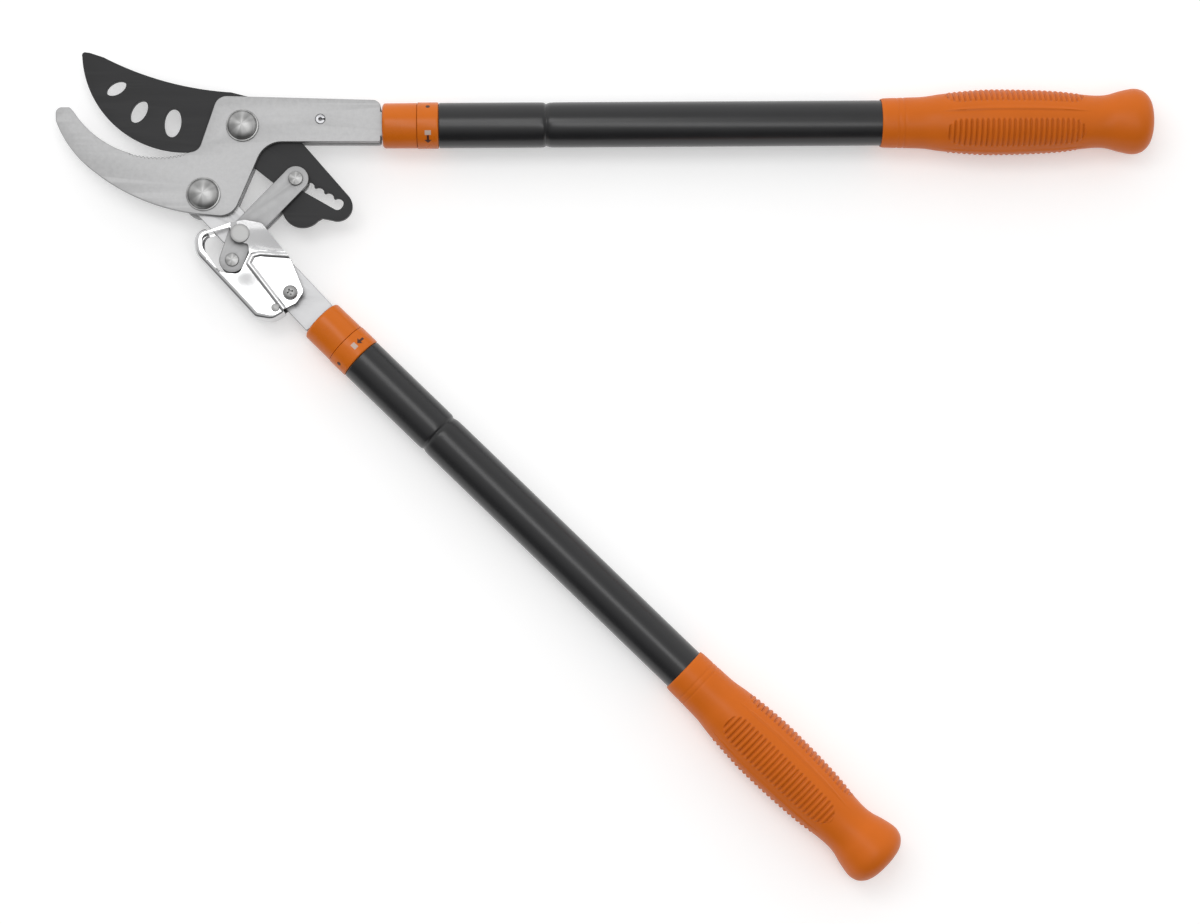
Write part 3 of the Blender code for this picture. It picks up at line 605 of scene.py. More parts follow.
# spun=True paints reflection sectors into this finish's colour
SPUN = surface("spun_zinc", (0.4, 0.4, 0.397), 1.0, 0.48, spread=0.04, cloud=0.3, grain=1100.0, bump=0.06,
               sockets=[("Anisotropic", 0.6)], spun=True)
INK = surface("printed_ink", (0.05, 0.012, 0.006), 0.0, 0.5, grain=1800.0)
PALE_INK = surface("pale_ink", (0.5, 0.38, 0.32), 0.0, 0.5, grain=1800.0)

FINISH_OF_SLOT = {
    "plate_steel": surface("blasted_steel", (0.4, 0.4, 0.402), 1.0, 0.54, spread=0.03, cloud=0.09,
        cloud_scale=330.0, grain=1300.0, depth=0.03),
    "blade_coating": COATED,
    "lever_steel": surface("brushed_lever", (0.4, 0.4, 0.405), 1.0, 0.46,
        stretch=(0.15, 1.0, 1.0), bump=0.3),
    # link_steel's groove is painted shade: darker base colour under the guard and round the rivet heads
    "link_steel": surface("link_steel", (0.31, 0.31, 0.312), 1.0, 0.5, grain=2200.0, bump=0.2, depth=0.03,
        cloud_scale=300.0, groove=(6.0, 0.6)),
    "guard_chrome": surface("polished_chrome", (0.6, 0.6, 0.605), 1.0, 0.14, spread=0.02, cloud=0.02,
        grain=900.0, bump=0.02),
    "zinc_plate": surface("dull_zinc", (0.36, 0.36, 0.357), 1.0, 0.5, cloud=0.08, grain=1300.0, bump=0.2),
    "spring_wire": surface("spring_wire", (0.3, 0.3, 0.31), 1.0, 0.3),
    "bush_bronze": surface("bronze", (0.3, 0.19, 0.08), 1.0, 0.35, cloud=0.12),
    "inner_tube": surface("drawn_aluminium", (0.42, 0.425, 0.43), 1.0, 0.34, grain=1600.0,
        stretch=(1.0, 1.0, 0.03), bump=0.2),
    "tube_paint": surface("satin_black_paint", (0.009, 0.009, 0.010), 0.0, 0.34, spread=0.03, cloud=0.1,
        grain=1300.0, bump=0.1,
        sockets=[("Specular IOR Level", 0.35), ("Coat Weight", 0.35), ("Coat Roughness", 0.24)]),
    "lock_orange": surface("orange_plastic", (0.6, 0.134, 0.005), 0.0, 0.3, spread=0.04, cloud=0.03,
        grain=1200.0, bump=0.06, sockets=[("Specular IOR Level", 0.25)]),
    # grip_rubber's groove is painted shade: darker base colour in the rib grooves and creases
    "grip_rubber": surface("orange_rubber", (0.61, 0.13, 0.006), 0.0, 0.42, cloud=0.03, grain=2400.0,
        bump=0.2, sockets=[("Specular IOR Level", 0.2)], groove=(2.2, 0.5)),
    "black_nylon": surface("black_nylon", (0.03, 0.03, 0.03), 0.0, 0.5),
}


def stand_for(node, mesh, place, finish=None):
    """A finished mesh takes a CAD node's place, rides on its body and keeps its material slot."""
    finish = finish or FINISH_OF_SLOT[SLOT_OF[node]]
    if not mesh.materials:
        mesh.materials.append(finish)
    for slot, kept in enumerate(mesh.materials):
        mesh.materials[slot] = kept or finish
    piece = in_scene(node + "_detail", mesh)
    piece.matrix_world = place
    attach(piece, BODY_OF[node])
    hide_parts(node)


# ---- plates of the head

STOP_PIN_RADIUS = 2.9


def hole(place, radius):
    """A hole that leaves a gap round its pin."""
    return circle(place, radius + GAP)


def make_plates():
    holes = [
        hole(BLADE_PIVOT, BOLT_RADIUS),
        hole(LEVER_PIVOT, BOLT_RADIUS),
        circle(STOP_PIN, STOP_PIN_RADIUS + 0.05),
    ]
    stand_for("hook_plate", slab([hook_outline(), *holes], PLATE_LOW, PLATE_HIGH, 0.55), HEAD)
    stand_for("back_plate", slab([back_outline(), *holes], -PLATE_HIGH, -PLATE_LOW, 0.55), HEAD)

    holes = [
        hole(LEVER_PIVOT, BUSH_RADIUS),
        hole(LINK_PIVOT, RIVET_RADIUS),
        hole(GUARD_SCREW, SCREW_RADIUS),
    ]
    stand_for("lever_bar", slab([lever_outline(), *holes], -BLADE_HALF, BLADE_HALF, 0.35), HEAD)

    outlines = [
        link_outline(),
        hole(LINK_PIVOT, RIVET_RADIUS),
        hole(RATCHET_PIN, PIN_RADIUS),
        hole(SPRING_PIN, SPRING_PIN_RADIUS),
    ]
    stand_for("link_plate_front", slab(outlines, PLATE_LOW, LINK_HIGH, 0.4), HEAD)
    stand_for("link_plate_back", slab(outlines, -LINK_HIGH, -PLATE_LOW, 0.4), HEAD)


GRIND_WIDTH = 7.5  # of the ground face on the blade's back
GRIND_SPARE = 1.5  # how far the grinding tool reaches past the blade
EDGE_LEFT = 0.35  # thickness left at the cutting edge


def make_blade():
    """The blade, with its ground face on the back, towards the hook's far side."""
    outlines = [
        blade_outline(),
        hole(BLADE_PIVOT, BUSH_RADIUS),
        ratchet_slot(),
        *[ellipse(*window) for window in BLADE_WINDOWS],
    ]
    blade = slab(outlines, -BLADE_HALF, BLADE_HALF, 0.3)
    blade.materials.append(COATED)
    rise = 2 * BLADE_HALF - EDGE_LEFT
    section = [
        (EDGE_RADIUS - GRIND_WIDTH, -BLADE_HALF),
        (EDGE_RADIUS + GRIND_SPARE, -BLADE_HALF + rise * (1 + GRIND_SPARE / GRIND_WIDTH)),
        (EDGE_RADIUS + GRIND_SPARE, -BLADE_HALF - GRIND_SPARE),
        (EDGE_RADIUS - GRIND_WIDTH, -BLADE_HALF - GRIND_SPARE),
    ]
    sections = []
    for i in range(101):
        turn = radians(178.0 + i)
        sections.append([
            (EDGE_CENTRE[0] + r * cos(turn), EDGE_CENTRE[1] + r * sin(turn), z) for r, z in section
        ])
    grinder = sweep(sections, sharp=5.0)
    grinder.materials.append(GROUND)
    stand_for("cutting_blade", cut_by(blade, grinder), HEAD)


# ---- bolts, pins and washers


DOME_STEPS = 20


def dome(radius, low, rise):
    """The profile of a round head, from its crown down to its rim."""
    shares = [i / DOME_STEPS for i in range(1, DOME_STEPS)]
    sides = [(radius * share, low + rise * sqrt(1 - share**2.3)) for share in shares]
    return [(0.0, low + rise), *sides, (radius, low)]


def hexagonal(flats):
    """A radius function for a nut whose corners are turned down to a round at both faces."""
    def shape(turn, radius, _):
        if radius < 0.9 * flats / 2:
            return radius
        across = flats / 2 / cos(radians((turn + 30.0) % 60.0 - 30.0))
        return min(across, radius)
    return shape


def nut_mesh(flats, bore, low, high):
    corner = flats / 2 / cos(radians(30.0))
    rim = flats / 2 * 0.97
    chamfer = (corner - rim) * 0.55
    sides = [(rim, high), (corner, high - chamfer), (corner, low + chamfer), (rim, low), (bore + 0.5, low)]
    dense = []
    for (r0, z0), (r1, z1) in zip(sides, sides[1:]):
        dense += [(r0 + (r1 - r0) * i / 6, z0 + (z1 - z0) * i / 6) for i in range(6)]
    profile = [(bore + 0.5, high), *dense, sides[-1], (bore, low + 0.5), (bore, high - 0.5)]
    return lathe(profile, 120, hexagonal(flats), 20.0)


def washer_mesh(outer, inner, low, high):
    return lathe(rounded([
        (outer, high, 0.25), (outer, low, 0.25), (inner, low, 0.15), (inner, high, 0.15),
    ]))


BOLT_TOP = 11.6
BOLT_END = 12.0
THREAD_PITCH = 1.25
THREAD_DEPTH = 0.6
WASHER_RADIUS = 8.4
WASHER_BORE = 4.25
WASHER_HEIGHT = 1.2
NUT_FLATS = 13.0
NUT_HEIGHT = 5.0


def thread_run(radius, high, low, pitch, depth):
    """The profile of a threaded end, as closely spaced ridges."""
    count = int((high - low) / pitch)
    points = []
    for i in range(count):
        top = high - i * pitch
        points += [(radius, top), (radius, top - 0.15 * pitch), (radius - depth, top - 0.6 * pitch)]
    return points


def make_pivots():
    seat = PLATE_HIGH + GAP
    for prefix, place, flange, head in (
        ("blade", BLADE_PIVOT, 10.0, 9.4),
        ("lever", LEVER_PIVOT, 10.5, 9.9),
    ):
        bolt = dome(head - 0.35, seat + 1.1, BOLT_TOP - seat - 1.1)
        bolt += [(head - 0.3, seat + 0.75), (head, seat + 0.7)]
        bolt += rounded([(head, seat + 0.9), (flange, seat + 0.85, 0.35), (flange, seat, 0.2),
                         (BOLT_RADIUS, seat)], closed=False)
        bolt += thread_run(BOLT_RADIUS, -7.0, -BOLT_END + 0.8, THREAD_PITCH, THREAD_DEPTH)
        bolt += [(BOLT_RADIUS - 0.2, -BOLT_END + 0.6), (BOLT_RADIUS - 0.9, -BOLT_END), (0.0, -BOLT_END)]
        stand_for(prefix + "_bolt", lathe(bolt, 128), at(place), SPUN)
        washer = washer_mesh(WASHER_RADIUS, WASHER_BORE, -seat - WASHER_HEIGHT, -seat)
        stand_for(prefix + "_washer", washer, at(place))
        nut_top = -seat - WASHER_HEIGHT - GAP
        nut = nut_mesh(NUT_FLATS, WASHER_BORE, nut_top - NUT_HEIGHT, nut_top)
        stand_for(prefix + "_nut", nut, at(place))


def pin_profile(shank, head, seat, top, crown, flat=0.0):
    """A pin with a slightly crowned head at both ends; flat is the radius of a level middle."""
    rim = rounded([(head - 0.9, top), (head, top - 0.15, 0.45), (head, seat, 0.15), (shank, seat)],
                  closed=False)
    face = [(0.0, top + crown)]
    steps = 8
    for i in range(1, steps + 1):
        share = i / steps
        radius = flat + (head - 0.9 - flat) * share
        face.append((radius, top + crown * (1 - share**2)))
    half = face + rim[1:]
    return half + [(r, -z) for r, z in half[::-1]]


def make_pins():
    on_guard, on_link = GUARD_HIGH + GAP, LINK_HIGH + GAP
    for node, place, profile, columns, finish in (
        ("link_rivet", LINK_PIVOT, (RIVET_RADIUS, 5.9, on_guard, 10.7, 0.1, 4.0), 96, None),
        ("ratchet_pin", RATCHET_PIN, (PIN_RADIUS, 4.3, on_link, 7.0, 0.4), 80, SPUN),
        ("spring_pin", SPRING_PIN, (SPRING_PIN_RADIUS, 4.1, on_link, 6.5, 0.3), 80, SPUN),
        ("spring_anchor_pin", SPRING_ANCHOR, (1.8, 2.5, on_guard, 9.2, 0.2), 64, None),
    ):
        stand_for(node, lathe(pin_profile(*profile), columns), at(place), finish)
    make_guard_screw(on_guard)
    make_stop_pin()


SCREW_HEAD = [  # (radius, height above the guard)
    (0.0, 2.6), (1.4, 2.55), (2.6, 2.35), (3.6, 1.9), (4.2, 1.3), (4.5, 0.7), (4.6, 0.2), (4.5, 0.0),
    (SCREW_RADIUS, 0.0),
]
RECESS = ((1.5, 1.0, 0.35), (-0.2, 2.3, 0.55))  # depth, half length and half width of a wing
SCREW_END = -11.6
SPACER_BORE = 2.3


def make_guard_screw(seat):
    """A pan-head screw with a cross recess, its nut and the spacers under the cheeks."""
    head = [(radius, seat + height) for radius, height in SCREW_HEAD]
    end = thread_run(SCREW_RADIUS, -8.2, -11.4, 0.7, 0.3)
    screw = lathe(head + end + [(SCREW_RADIUS - 0.4, SCREW_END), (0.0, SCREW_END)])
    for turn in (20.0, 110.0):
        wing = []
        for depth, length, width in RECESS:
            z = seat + SCREW_HEAD[0][1] - depth
            corners = ((-length, -width), (length, -width), (length, width), (-length, width))
            wing.append([(x, y, z) for x, y in corners])
        recess = sweep(wing, 5.0)
        recess.transform(Matrix.Rotation(radians(turn), 4, "Z"))
        screw = cut_by(screw, recess, 25.0)
    stand_for("guard_screw", screw, at(GUARD_SCREW))
    stand_for("guard_nut", nut_mesh(7.0, SPACER_BORE, -seat - 3.2, -seat), at(GUARD_SCREW))
    for side, sign in (("front", 1), ("back", -1)):
        low, high = sorted((sign * (BLADE_HALF + GAP), sign * (GUARD_LOW - GAP)))
        stand_for("guard_spacer_" + side, washer_mesh(4.4, SPACER_BORE, low, high), at(GUARD_SCREW))


def make_stop_pin():
    """A rolled pin with its slit."""
    slit, inner = 9.0, 1.1
    outside = arc((0, 0), STOP_PIN_RADIUS, slit, 360.0 - slit)
    ring = outside + arc((0, 0), inner, 360.0 - slit * 1.5, slit * 1.5)
    stand_for("stop_pin", slab([ring], -PLATE_HIGH, PLATE_HIGH, 0.2), at(STOP_PIN))


# ---- the guard over the spring

GUARD_LEFT_EDGE = [
    (-6.5, -61.0), (-29.3, -66.5, 8.0), (-28.2, -79.9, 12.0),
    (8.6, -119.6, 5.0), (19.5, -121.2, 8.0), (29.6, -114.9, 1.5),
]
GUARD_REST = [
    (34.0, -110.8, 4.0), (38.6, -103.6, 4.0), (29.9, -82.6, 3.0), (13.0, -61.7, 5.0), (2.5, -59.6, 6.0),
]
GUARD_WINDOW = [
    (-6.6, -63.6, 0.8), (-24.4, -68.2, 5.0), (-23.6, -76.6, 8.0), (-12.9, -92.0, 5.0), (-0.6, -93.0, 4.5),
    (5.2, -80.0, 2.5), (4.6, -74.3, 1.5), (-2.6, -72.8, 3.0), (-5.6, -69.0, 3.0),
]
BEAD_ROUTE = [(34.0, -81.7), (11.6, -80.3), (7.4, -81.4), (5.0, -86.4), (29.2, -117.9)]
BEAD_WIDTH = 3.8
BEAD_HEIGHT = 1.0
GUARD_CROWN = (4.0, -88.5)
GUARD_CROWN_REACH = 10.0
GUARD_CROWN_HEIGHT = 0.7
GUARD_LIP_FROM = -79.0  # where the sheet starts to rise towards its top edge
GUARD_LIP_SLOPE = (0.05, 0.07)  # to the right and up, beyond the rivet
GUARD_LIP_LEFT = -7.0
FOLD_RADIUS = 3.4
FOLD_START_RADIUS = 2.0
FOLD_GROWTH = 12.0  # along the edge, from the tight start of the fold to its full radius
FOLD_FADING = 26.0  # and from there to its end
FOLD_STEPS = 10
SHEET = GUARD_HIGH - GUARD_LOW
WALL_CLEARANCE = 1.8  # between the lever and the guard's side wall


def beside_lever(point):
    """How far a point lies from the lever's centre line, on the guard's side."""
    way = Vector(LOWER_FRONT) - Vector(LEVER_PIVOT)
    from_pivot = Vector(point) - Vector(LEVER_PIVOT)
    return (way.y * from_pivot.x - way.x * from_pivot.y) / way.length


def folded_edge():
    """The folded part of the guard's left edge: points with the direction inward and the bend
    radius at each."""
    run = [Vector(point) for point in rounded(GUARD_LEFT_EDGE, closed=False)]
    dense = []
    for first, second in zip(run, run[1:]):
        steps = max(1, ceil((second - first).length / 1.0))
        dense += [first.lerp(second, i / steps) for i in range(steps)]
    dense = [point for point in dense if beside_lever(point) > LEVER_HALF + WALL_CLEARANCE]
    left = sum((b - a).length for a, b in zip(dense, dense[1:]))
    travelled = 0.0
    found = []
    for i, point in enumerate(dense):
        step = (point - dense[max(i - 1, 0)]).length
        travelled += step
        left -= step
        full = ease(travelled / FOLD_GROWTH) * ease(left / FOLD_FADING)
        ahead = dense[min(i + 1, len(dense) - 1)] - dense[max(i - 1, 0)]
        radius = FOLD_START_RADIUS + (FOLD_RADIUS - FOLD_START_RADIUS) * full
        found.append((point, Vector((-ahead.y, ahead.x)).normalized(), radius))
    return found


def share_along(here, a, b):
    """Where a point falls on a straight run, as a share of its length."""
    return (here - a).dot(b - a) / (b - a).length_squared


def from_route(point, route):
    """The distance from a point to an open route of straight runs."""
    best = 1e9
    here = Vector(point)
    for start, end in zip(route, route[1:]):
        a, b = Vector(start), Vector(end)
        share = max(0.0, min(1.0, share_along(here, a, b)))
        best = min(best, (here - a.lerp(b, share)).length)
    return best


def guard_relief(x, y):
    """How far the sheet is pressed out at a point: a bead, a slight crown, and a top edge that
    rises a little to the right of the rivet."""
    distance = from_route((x, y), BEAD_ROUTE)
    relief = 0.0
    if distance < BEAD_WIDTH / 2:
        relief += BEAD_HEIGHT * (0.5 + 0.5 * cos(2 * pi * distance / BEAD_WIDTH))
    crown = (Vector((x, y)) - Vector(GUARD_CROWN)).length / GUARD_CROWN_REACH
    relief += GUARD_CROWN_HEIGHT * exp(-(crown**2))
    above = max(0.0, y - GUARD_LIP_FROM)
    beyond = x - GUARD_LIP_LEFT
    across = GUARD_LIP_SLOPE[0] * beyond * ease(above / 14.0)
    return relief + ease(beyond / 5.0) * (across + GUARD_LIP_SLOPE[1] * above)


def sliced(body, start, end, half_width, count):
    """Cuts a flat mesh by lines beside a run, so that a relief can follow it."""
    way = (Vector(end) - Vector(start)).normalized()
    across = Vector((-way.y, way.x, 0.0))
    for i in range(count + 1):
        offset = half_width * (2 * i / count - 1)
        place = Vector((*start, 0.0)) + across * offset
        geometry = body.verts[:] + body.edges[:] + body.faces[:]
        bmesh.ops.bisect_plane(body, geom=geometry, plane_co=place * MM, plane_no=across, dist=1e-7)


def guard_cheek(fold):
    """The front cheek's middle surface, flat where it meets the fold."""
    full_edge = rounded(GUARD_LEFT_EDGE, closed=False)
    first = full_edge.index(min(full_edge, key=lambda p: (Vector(p) - fold[0][0]).length))
    last = full_edge.index(min(full_edge, key=lambda p: (Vector(p) - fold[-1][0]).length))
    bend_line = [tuple(p + n * radius) for p, n, radius in fold]
    edge = full_edge[: max(1, first)] + bend_line + full_edge[last + 1:]
    rest = rounded([edge[-1], *GUARD_REST, edge[0]], closed=False)[1:-1]
    outlines = [
        edge + rest,
        rounded(GUARD_WINDOW),
        hole(LINK_PIVOT, RIVET_RADIUS),
        hole(GUARD_SCREW, SCREW_RADIUS),
        circle(SPRING_ANCHOR, 2.1),
    ]
    flat = slab(outlines, 0.0, 0.0)
    body = bmesh.new()
    body.from_mesh(flat)
    for start, end in zip(BEAD_ROUTE, BEAD_ROUTE[1:]):
        sliced(body, start, end, BEAD_WIDTH / 2, 12)
    sliced(body, (0, -90), (1, -90), 34.0, 68)
    sliced(body, (4, 0), (4, 1), 40.0, 80)
    bmesh.ops.remove_doubles(body, verts=body.verts, dist=1e-6)
    for vertex in body.verts:
        relief = guard_relief(vertex.co.x / MM, vertex.co.y / MM)
        vertex.co.z = ((GUARD_LOW + GUARD_HIGH) / 2 + relief) * MM
    return body, bend_line


def on_bend_line(point, bend_line):
    """Where a point lies along the bend line, as a segment number and a share, or None."""
    here = Vector(point)
    for i, (start, end) in enumerate(zip(bend_line, bend_line[1:])):
        a, b = Vector(start), Vector(end)
        share = share_along(here, a, b)
        if -1e-3 < share < 1 + 1e-3 and (here - a.lerp(b, share)).length < 2e-3:
            return i + max(0.0, min(1.0, share))
    return None


def fold_down(body, fold, bend_line):
    """Adds the bent wall from the front cheek's bend line to the back one's."""
    places = {}
    for vertex in body.verts:
        if vertex.is_boundary:
            found = on_bend_line(vertex.co.xy / MM, bend_line)
            if found is not None:
                places[found] = vertex
    columns = []
    for place, vertex in sorted(places.items()):
        i = min(int(place), len(fold) - 2)
        share = place - i
        inward = fold[i][1].lerp(fold[i + 1][1], share).normalized()
        bend = fold[i][2] + (fold[i + 1][2] - fold[i][2]) * share - SHEET / 2
        half = []
        for k in range(1, FOLD_STEPS + 1):
            turn = radians(90.0 * k / FOLD_STEPS)
            flat = vertex.co.xy - inward * bend * sin(turn) * MM
            half.append((flat.x, flat.y, vertex.co.z - bend * (1 - cos(turn)) * MM))
        wall = half + [(x, y, -z) for x, y, z in half[::-1]] + [(vertex.co.x, vertex.co.y, -vertex.co.z)]
        columns.append([vertex] + [body.verts.new(point) for point in wall])
    for left, right in zip(columns, columns[1:]):
        for k in range(len(left) - 1):
            body.faces.new((left[k], left[k + 1], right[k + 1], right[k]))


def make_guard():
    """One bent sheet: two cheeks joined by a fold, given its thickness at the end."""
    fold = folded_edge()
    body, bend_line = guard_cheek(fold)
    cheek = bpy.data.meshes.new("cheek")
    body.to_mesh(cheek)
    cheek.transform(Matrix.Scale(-1.0, 4, (0, 0, 1)))
    fold_down(body, fold, bend_line)
    body.from_mesh(cheek)
    bmesh.ops.remove_doubles(body, verts=body.verts, dist=5e-7)
    bmesh.ops.recalc_face_normals(body, faces=body.faces)
    sheet = bpy.data.meshes.new("guard")
    body.to_mesh(sheet)
    body.free()
    bent = in_scene("bent", sheet)
    thick = bent.modifiers.new("thickness", "SOLIDIFY")
    thick.thickness = SHEET * MM
    thick.offset = 0.0
    bent.data = shaded(evaluated(bent), 40.0)
    bent.modifiers.clear()
    even = bent.modifiers.new("even_shading", "WEIGHTED_NORMAL")
    even.keep_sharp = True
    made = evaluated(bent)
    bpy.data.objects.remove(bent, do_unlink=True)
    stand_for("spring_guard", made, HEAD)


# ---- the spring

SPRING_COIL_RADIUS = 3.0
SPRING_WIRE_RADIUS = 0.5
SPRING_LOOP_RADIUS = 2.8
SPRING_COILS = 19
SPRING_STEPS = 20  # points in a coil
SPRING_FIRST_COIL = 9.0
SPRING_NECK = 2.6  # from the last coil to the loop on the anchor


def make_spring():
    """A close-wound extension spring with a loop on each pin."""
    start, end = Vector(SPRING_PIN), Vector(SPRING_ANCHOR)
    axis = (end - start).normalized()
    side = Vector((-axis.y, axis.x))
    length = (end - start).length
    first_coil, last_coil = SPRING_FIRST_COIL, length - SPRING_LOOP_RADIUS - SPRING_NECK

    def place(along, across, height):
        flat = start + axis * along + side * across
        return (flat.x, flat.y, height)

    def loop(along, first_angle):
        turns = [radians(first_angle + 15 * i) for i in range(21)]
        spots = [(SPRING_LOOP_RADIUS * cos(turn), SPRING_LOOP_RADIUS * sin(turn)) for turn in turns]
        return [place(along + x, y, 0.0) for x, y in spots]

    route = loop(0.0, 30)
    count = SPRING_COILS * SPRING_STEPS
    for i in range(count + 1):
        turn = 2 * pi * i / SPRING_STEPS - pi / 2
        along = first_coil + (last_coil - first_coil) * i / count
        route.append(place(along, SPRING_COIL_RADIUS * sin(turn), SPRING_COIL_RADIUS * cos(turn)))
    route += loop(length, 210)

    curve = bpy.data.curves.new("spring", "CURVE")
    curve.dimensions = "3D"
    curve.bevel_depth = SPRING_WIRE_RADIUS * MM
    curve.bevel_resolution = 2
    curve.use_fill_caps = True
    spline = curve.splines.new("POLY")
    spline.points.add(len(route) - 1)
    for point, co in zip(spline.points, route):
        point.co = (*(Vector(co) * MM), 1.0)
    mesh = welded(curve, HEAD)
    shaded(mesh, 50.0)
    mesh.materials.append(FINISH_OF_SLOT[SLOT_OF["ratchet_spring"]])
    spring = in_scene("ratchet_spring_detail", mesh)
    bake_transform(spring)
    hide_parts("ratchet_spring")


# ---- telescopic handles


def crimp(height):
    """How far the outer tube is pressed in at a height: a groove with rounded shoulders."""
    width = 0.75 if height < CRIMP_PLACE else 1.5
    return 1.0 / (1.0 + ((height - CRIMP_PLACE) / width) ** 2)


def outer_tube_mesh():
    start = RING_END + GAP
    heights = [start + 0.5, start + 2.0, 60.0, 80.0]
    heights += [CRIMP_PLACE - 8.0 + 0.35 * i for i in range(58)]
    heights += [120.0, 160.0, 240.0, 320.0, 400.0, OUTER_TUBE_END - 0.5]
    outside = [(OUTER_TUBE_RADIUS - crimp(h), h) for h in heights[::-1]]
    profile = [
        (OUTER_TUBE_RADIUS - 0.3, OUTER_TUBE_END),
        *outside,
        (OUTER_TUBE_RADIUS - 0.3, start), (OUTER_TUBE_BORE, start),
        (OUTER_TUBE_BORE, OUTER_TUBE_END),
    ]
    return lathe(profile, 128, sharp=30.0)


def lock_body_mesh():
    """The ring behind the sleeve, with the spigot that holds it in the outer tube."""
    bore = INNER_TUBE_RADIUS + GAP
    spigot = OUTER_TUBE_BORE - GAP
    front = SLEEVE_LENGTH + GAP
    return lathe(rounded([
        (spigot, RING_END + 12.0, 0.4), (spigot, RING_END), (RING_RADIUS, RING_END, 1.0),
        (RING_RADIUS, front, 0.3), (12.6, front, 0.2), (12.6, 3.0, 0.2), (bore, 3.0, 0.1),
        (bore, RING_END + 12.0, 0.3),
    ]), 128)


def sleeve_mesh():
    lip = INNER_TUBE_RADIUS + 0.35
    return lathe(rounded([
        (OUTER_TUBE_RADIUS, SLEEVE_LENGTH, 0.3), (OUTER_TUBE_RADIUS - 0.1, 0.0, 2.0),
        (lip, 0.0, 0.4), (lip, 2.4), (12.9, 2.4, 0.2), (12.9, SLEEVE_LENGTH, 0.2),
    ]), 128)


MARK_MIDDLE = 28.2  # height of the marks on the ring
MARK_LIFT = 0.06


def wrapped(outline, turn):
    """A thin printed mark that follows the ring: outline points are (height, degrees) from its
    middle."""
    flat = slab([[(MARK_MIDDLE + height, turn + angle) for height, angle in outline]], 0.0, 1.0)
    body = bmesh.new()
    body.from_mesh(flat)
    bmesh.ops.subdivide_edges(body, edges=body.edges[:], cuts=3, use_grid_fill=True)
    body.to_mesh(flat)
    body.free()
    for vertex in flat.vertices:
        height, angle, level = vertex.co / MM
        r = RING_RADIUS - 0.1 + (0.1 + MARK_LIFT) * level
        vertex.co = Vector((r * cos(radians(angle)), r * sin(radians(angle)), height)) * MM
    return flat


ARROW = [(-0.7, -11.0), (-0.7, 2.0), (-2.2, 2.0), (0.0, 12.0), (2.2, 2.0), (0.7, 2.0), (0.7, -11.0)]
SQUARE = [(-1.9, -6.0), (1.9, -6.0), (1.9, 6.0), (-1.9, 6.0)]
DOT = ellipse((0.0, 0.0), 5.2, 1.3, 90.0, 24)


def make_marks(prefix, turns):
    """Generic marks on the ring: an arrow that shows the way to turn, a pale square and a dot."""
    marks = (("arrow", ARROW, INK), ("square", SQUARE, PALE_INK), ("dot", DOT, INK))
    for (name, outline, ink), turn in zip(marks, turns):
        mesh = wrapped(outline, turn)
        mesh.materials.append(ink)
        mark = in_scene(f"{prefix}_lock_{name}_mark", mesh)
        mark.matrix_world = HANDLES[prefix]
        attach(mark, BODY_OF[prefix + "_lock_body"])


GRIP_PROFILE = [  # (radius, distance from the grip's front)
    (14.95, 0.5), (15.3, 3.0), (15.6, 14.0), (16.1, 27.0), (17.6, 37.5), (19.3, 55.0), (20.0, 70.0),
    (19.6, 92.0), (18.6, 111.0), (17.0, 124.5), (16.2, 135.0), (16.7, 142.0), (18.8, 149.5),
    (20.3, 157.6), (19.5, 162.6), (17.2, 166.0), (13.5, 168.5), (8.0, 169.8), (0.0, 170.0),
]
PANELS = 4
PANEL_HALF = 28.0  # degrees
PANEL_TAPER = 9.0
RIB_FROM = 39.5
RIB_TO = 126.0
RIB_COUNT = 26
RIB_DEPTH = 1.3
LEAF_FROM = 34.0
LEAF_TO = 131.0
LEAF_HALF = 9.5  # degrees, at its middle
LEAF_RISE = 0.5
FRONT_GROOVES = (10.3, 14.0)
PLAIN_FROM = 140.0  # the grip's rounded end has no relief


def smooth_through(points, steps):
    """A smooth run through points, by Catmull-Rom."""
    ends = [points[0], *points, points[-1]]
    run = []
    for a, b, c, d in zip(ends, ends[1:], ends[2:], ends[3:]):
        for i in range(steps):
            t = i / steps
            run.append(tuple(
                0.5 * (2 * q + (r - p) * t + (2 * p - 5 * q + 4 * r - s) * t**2
                       + (3 * q - p - 3 * r + s) * t**3)
                for p, q, r, s in zip(a, b, c, d)
            ))
    return run + [points[-1]]


def radius_along(run, distance):
    """The grip's plain radius at a distance from its front."""
    for (r0, z0), (r1, z1) in zip(run, run[1:]):
        if z0 <= distance <= z1:
            return r0 + (r1 - r0) * (distance - z0) / max(z1 - z0, 1e-9)
    return run[0][0]


def ease(value):
    """0 below 0, 1 above 1, smooth between."""
    t = max(0.0, min(1.0, value))
    return t * t * (3 - 2 * t)


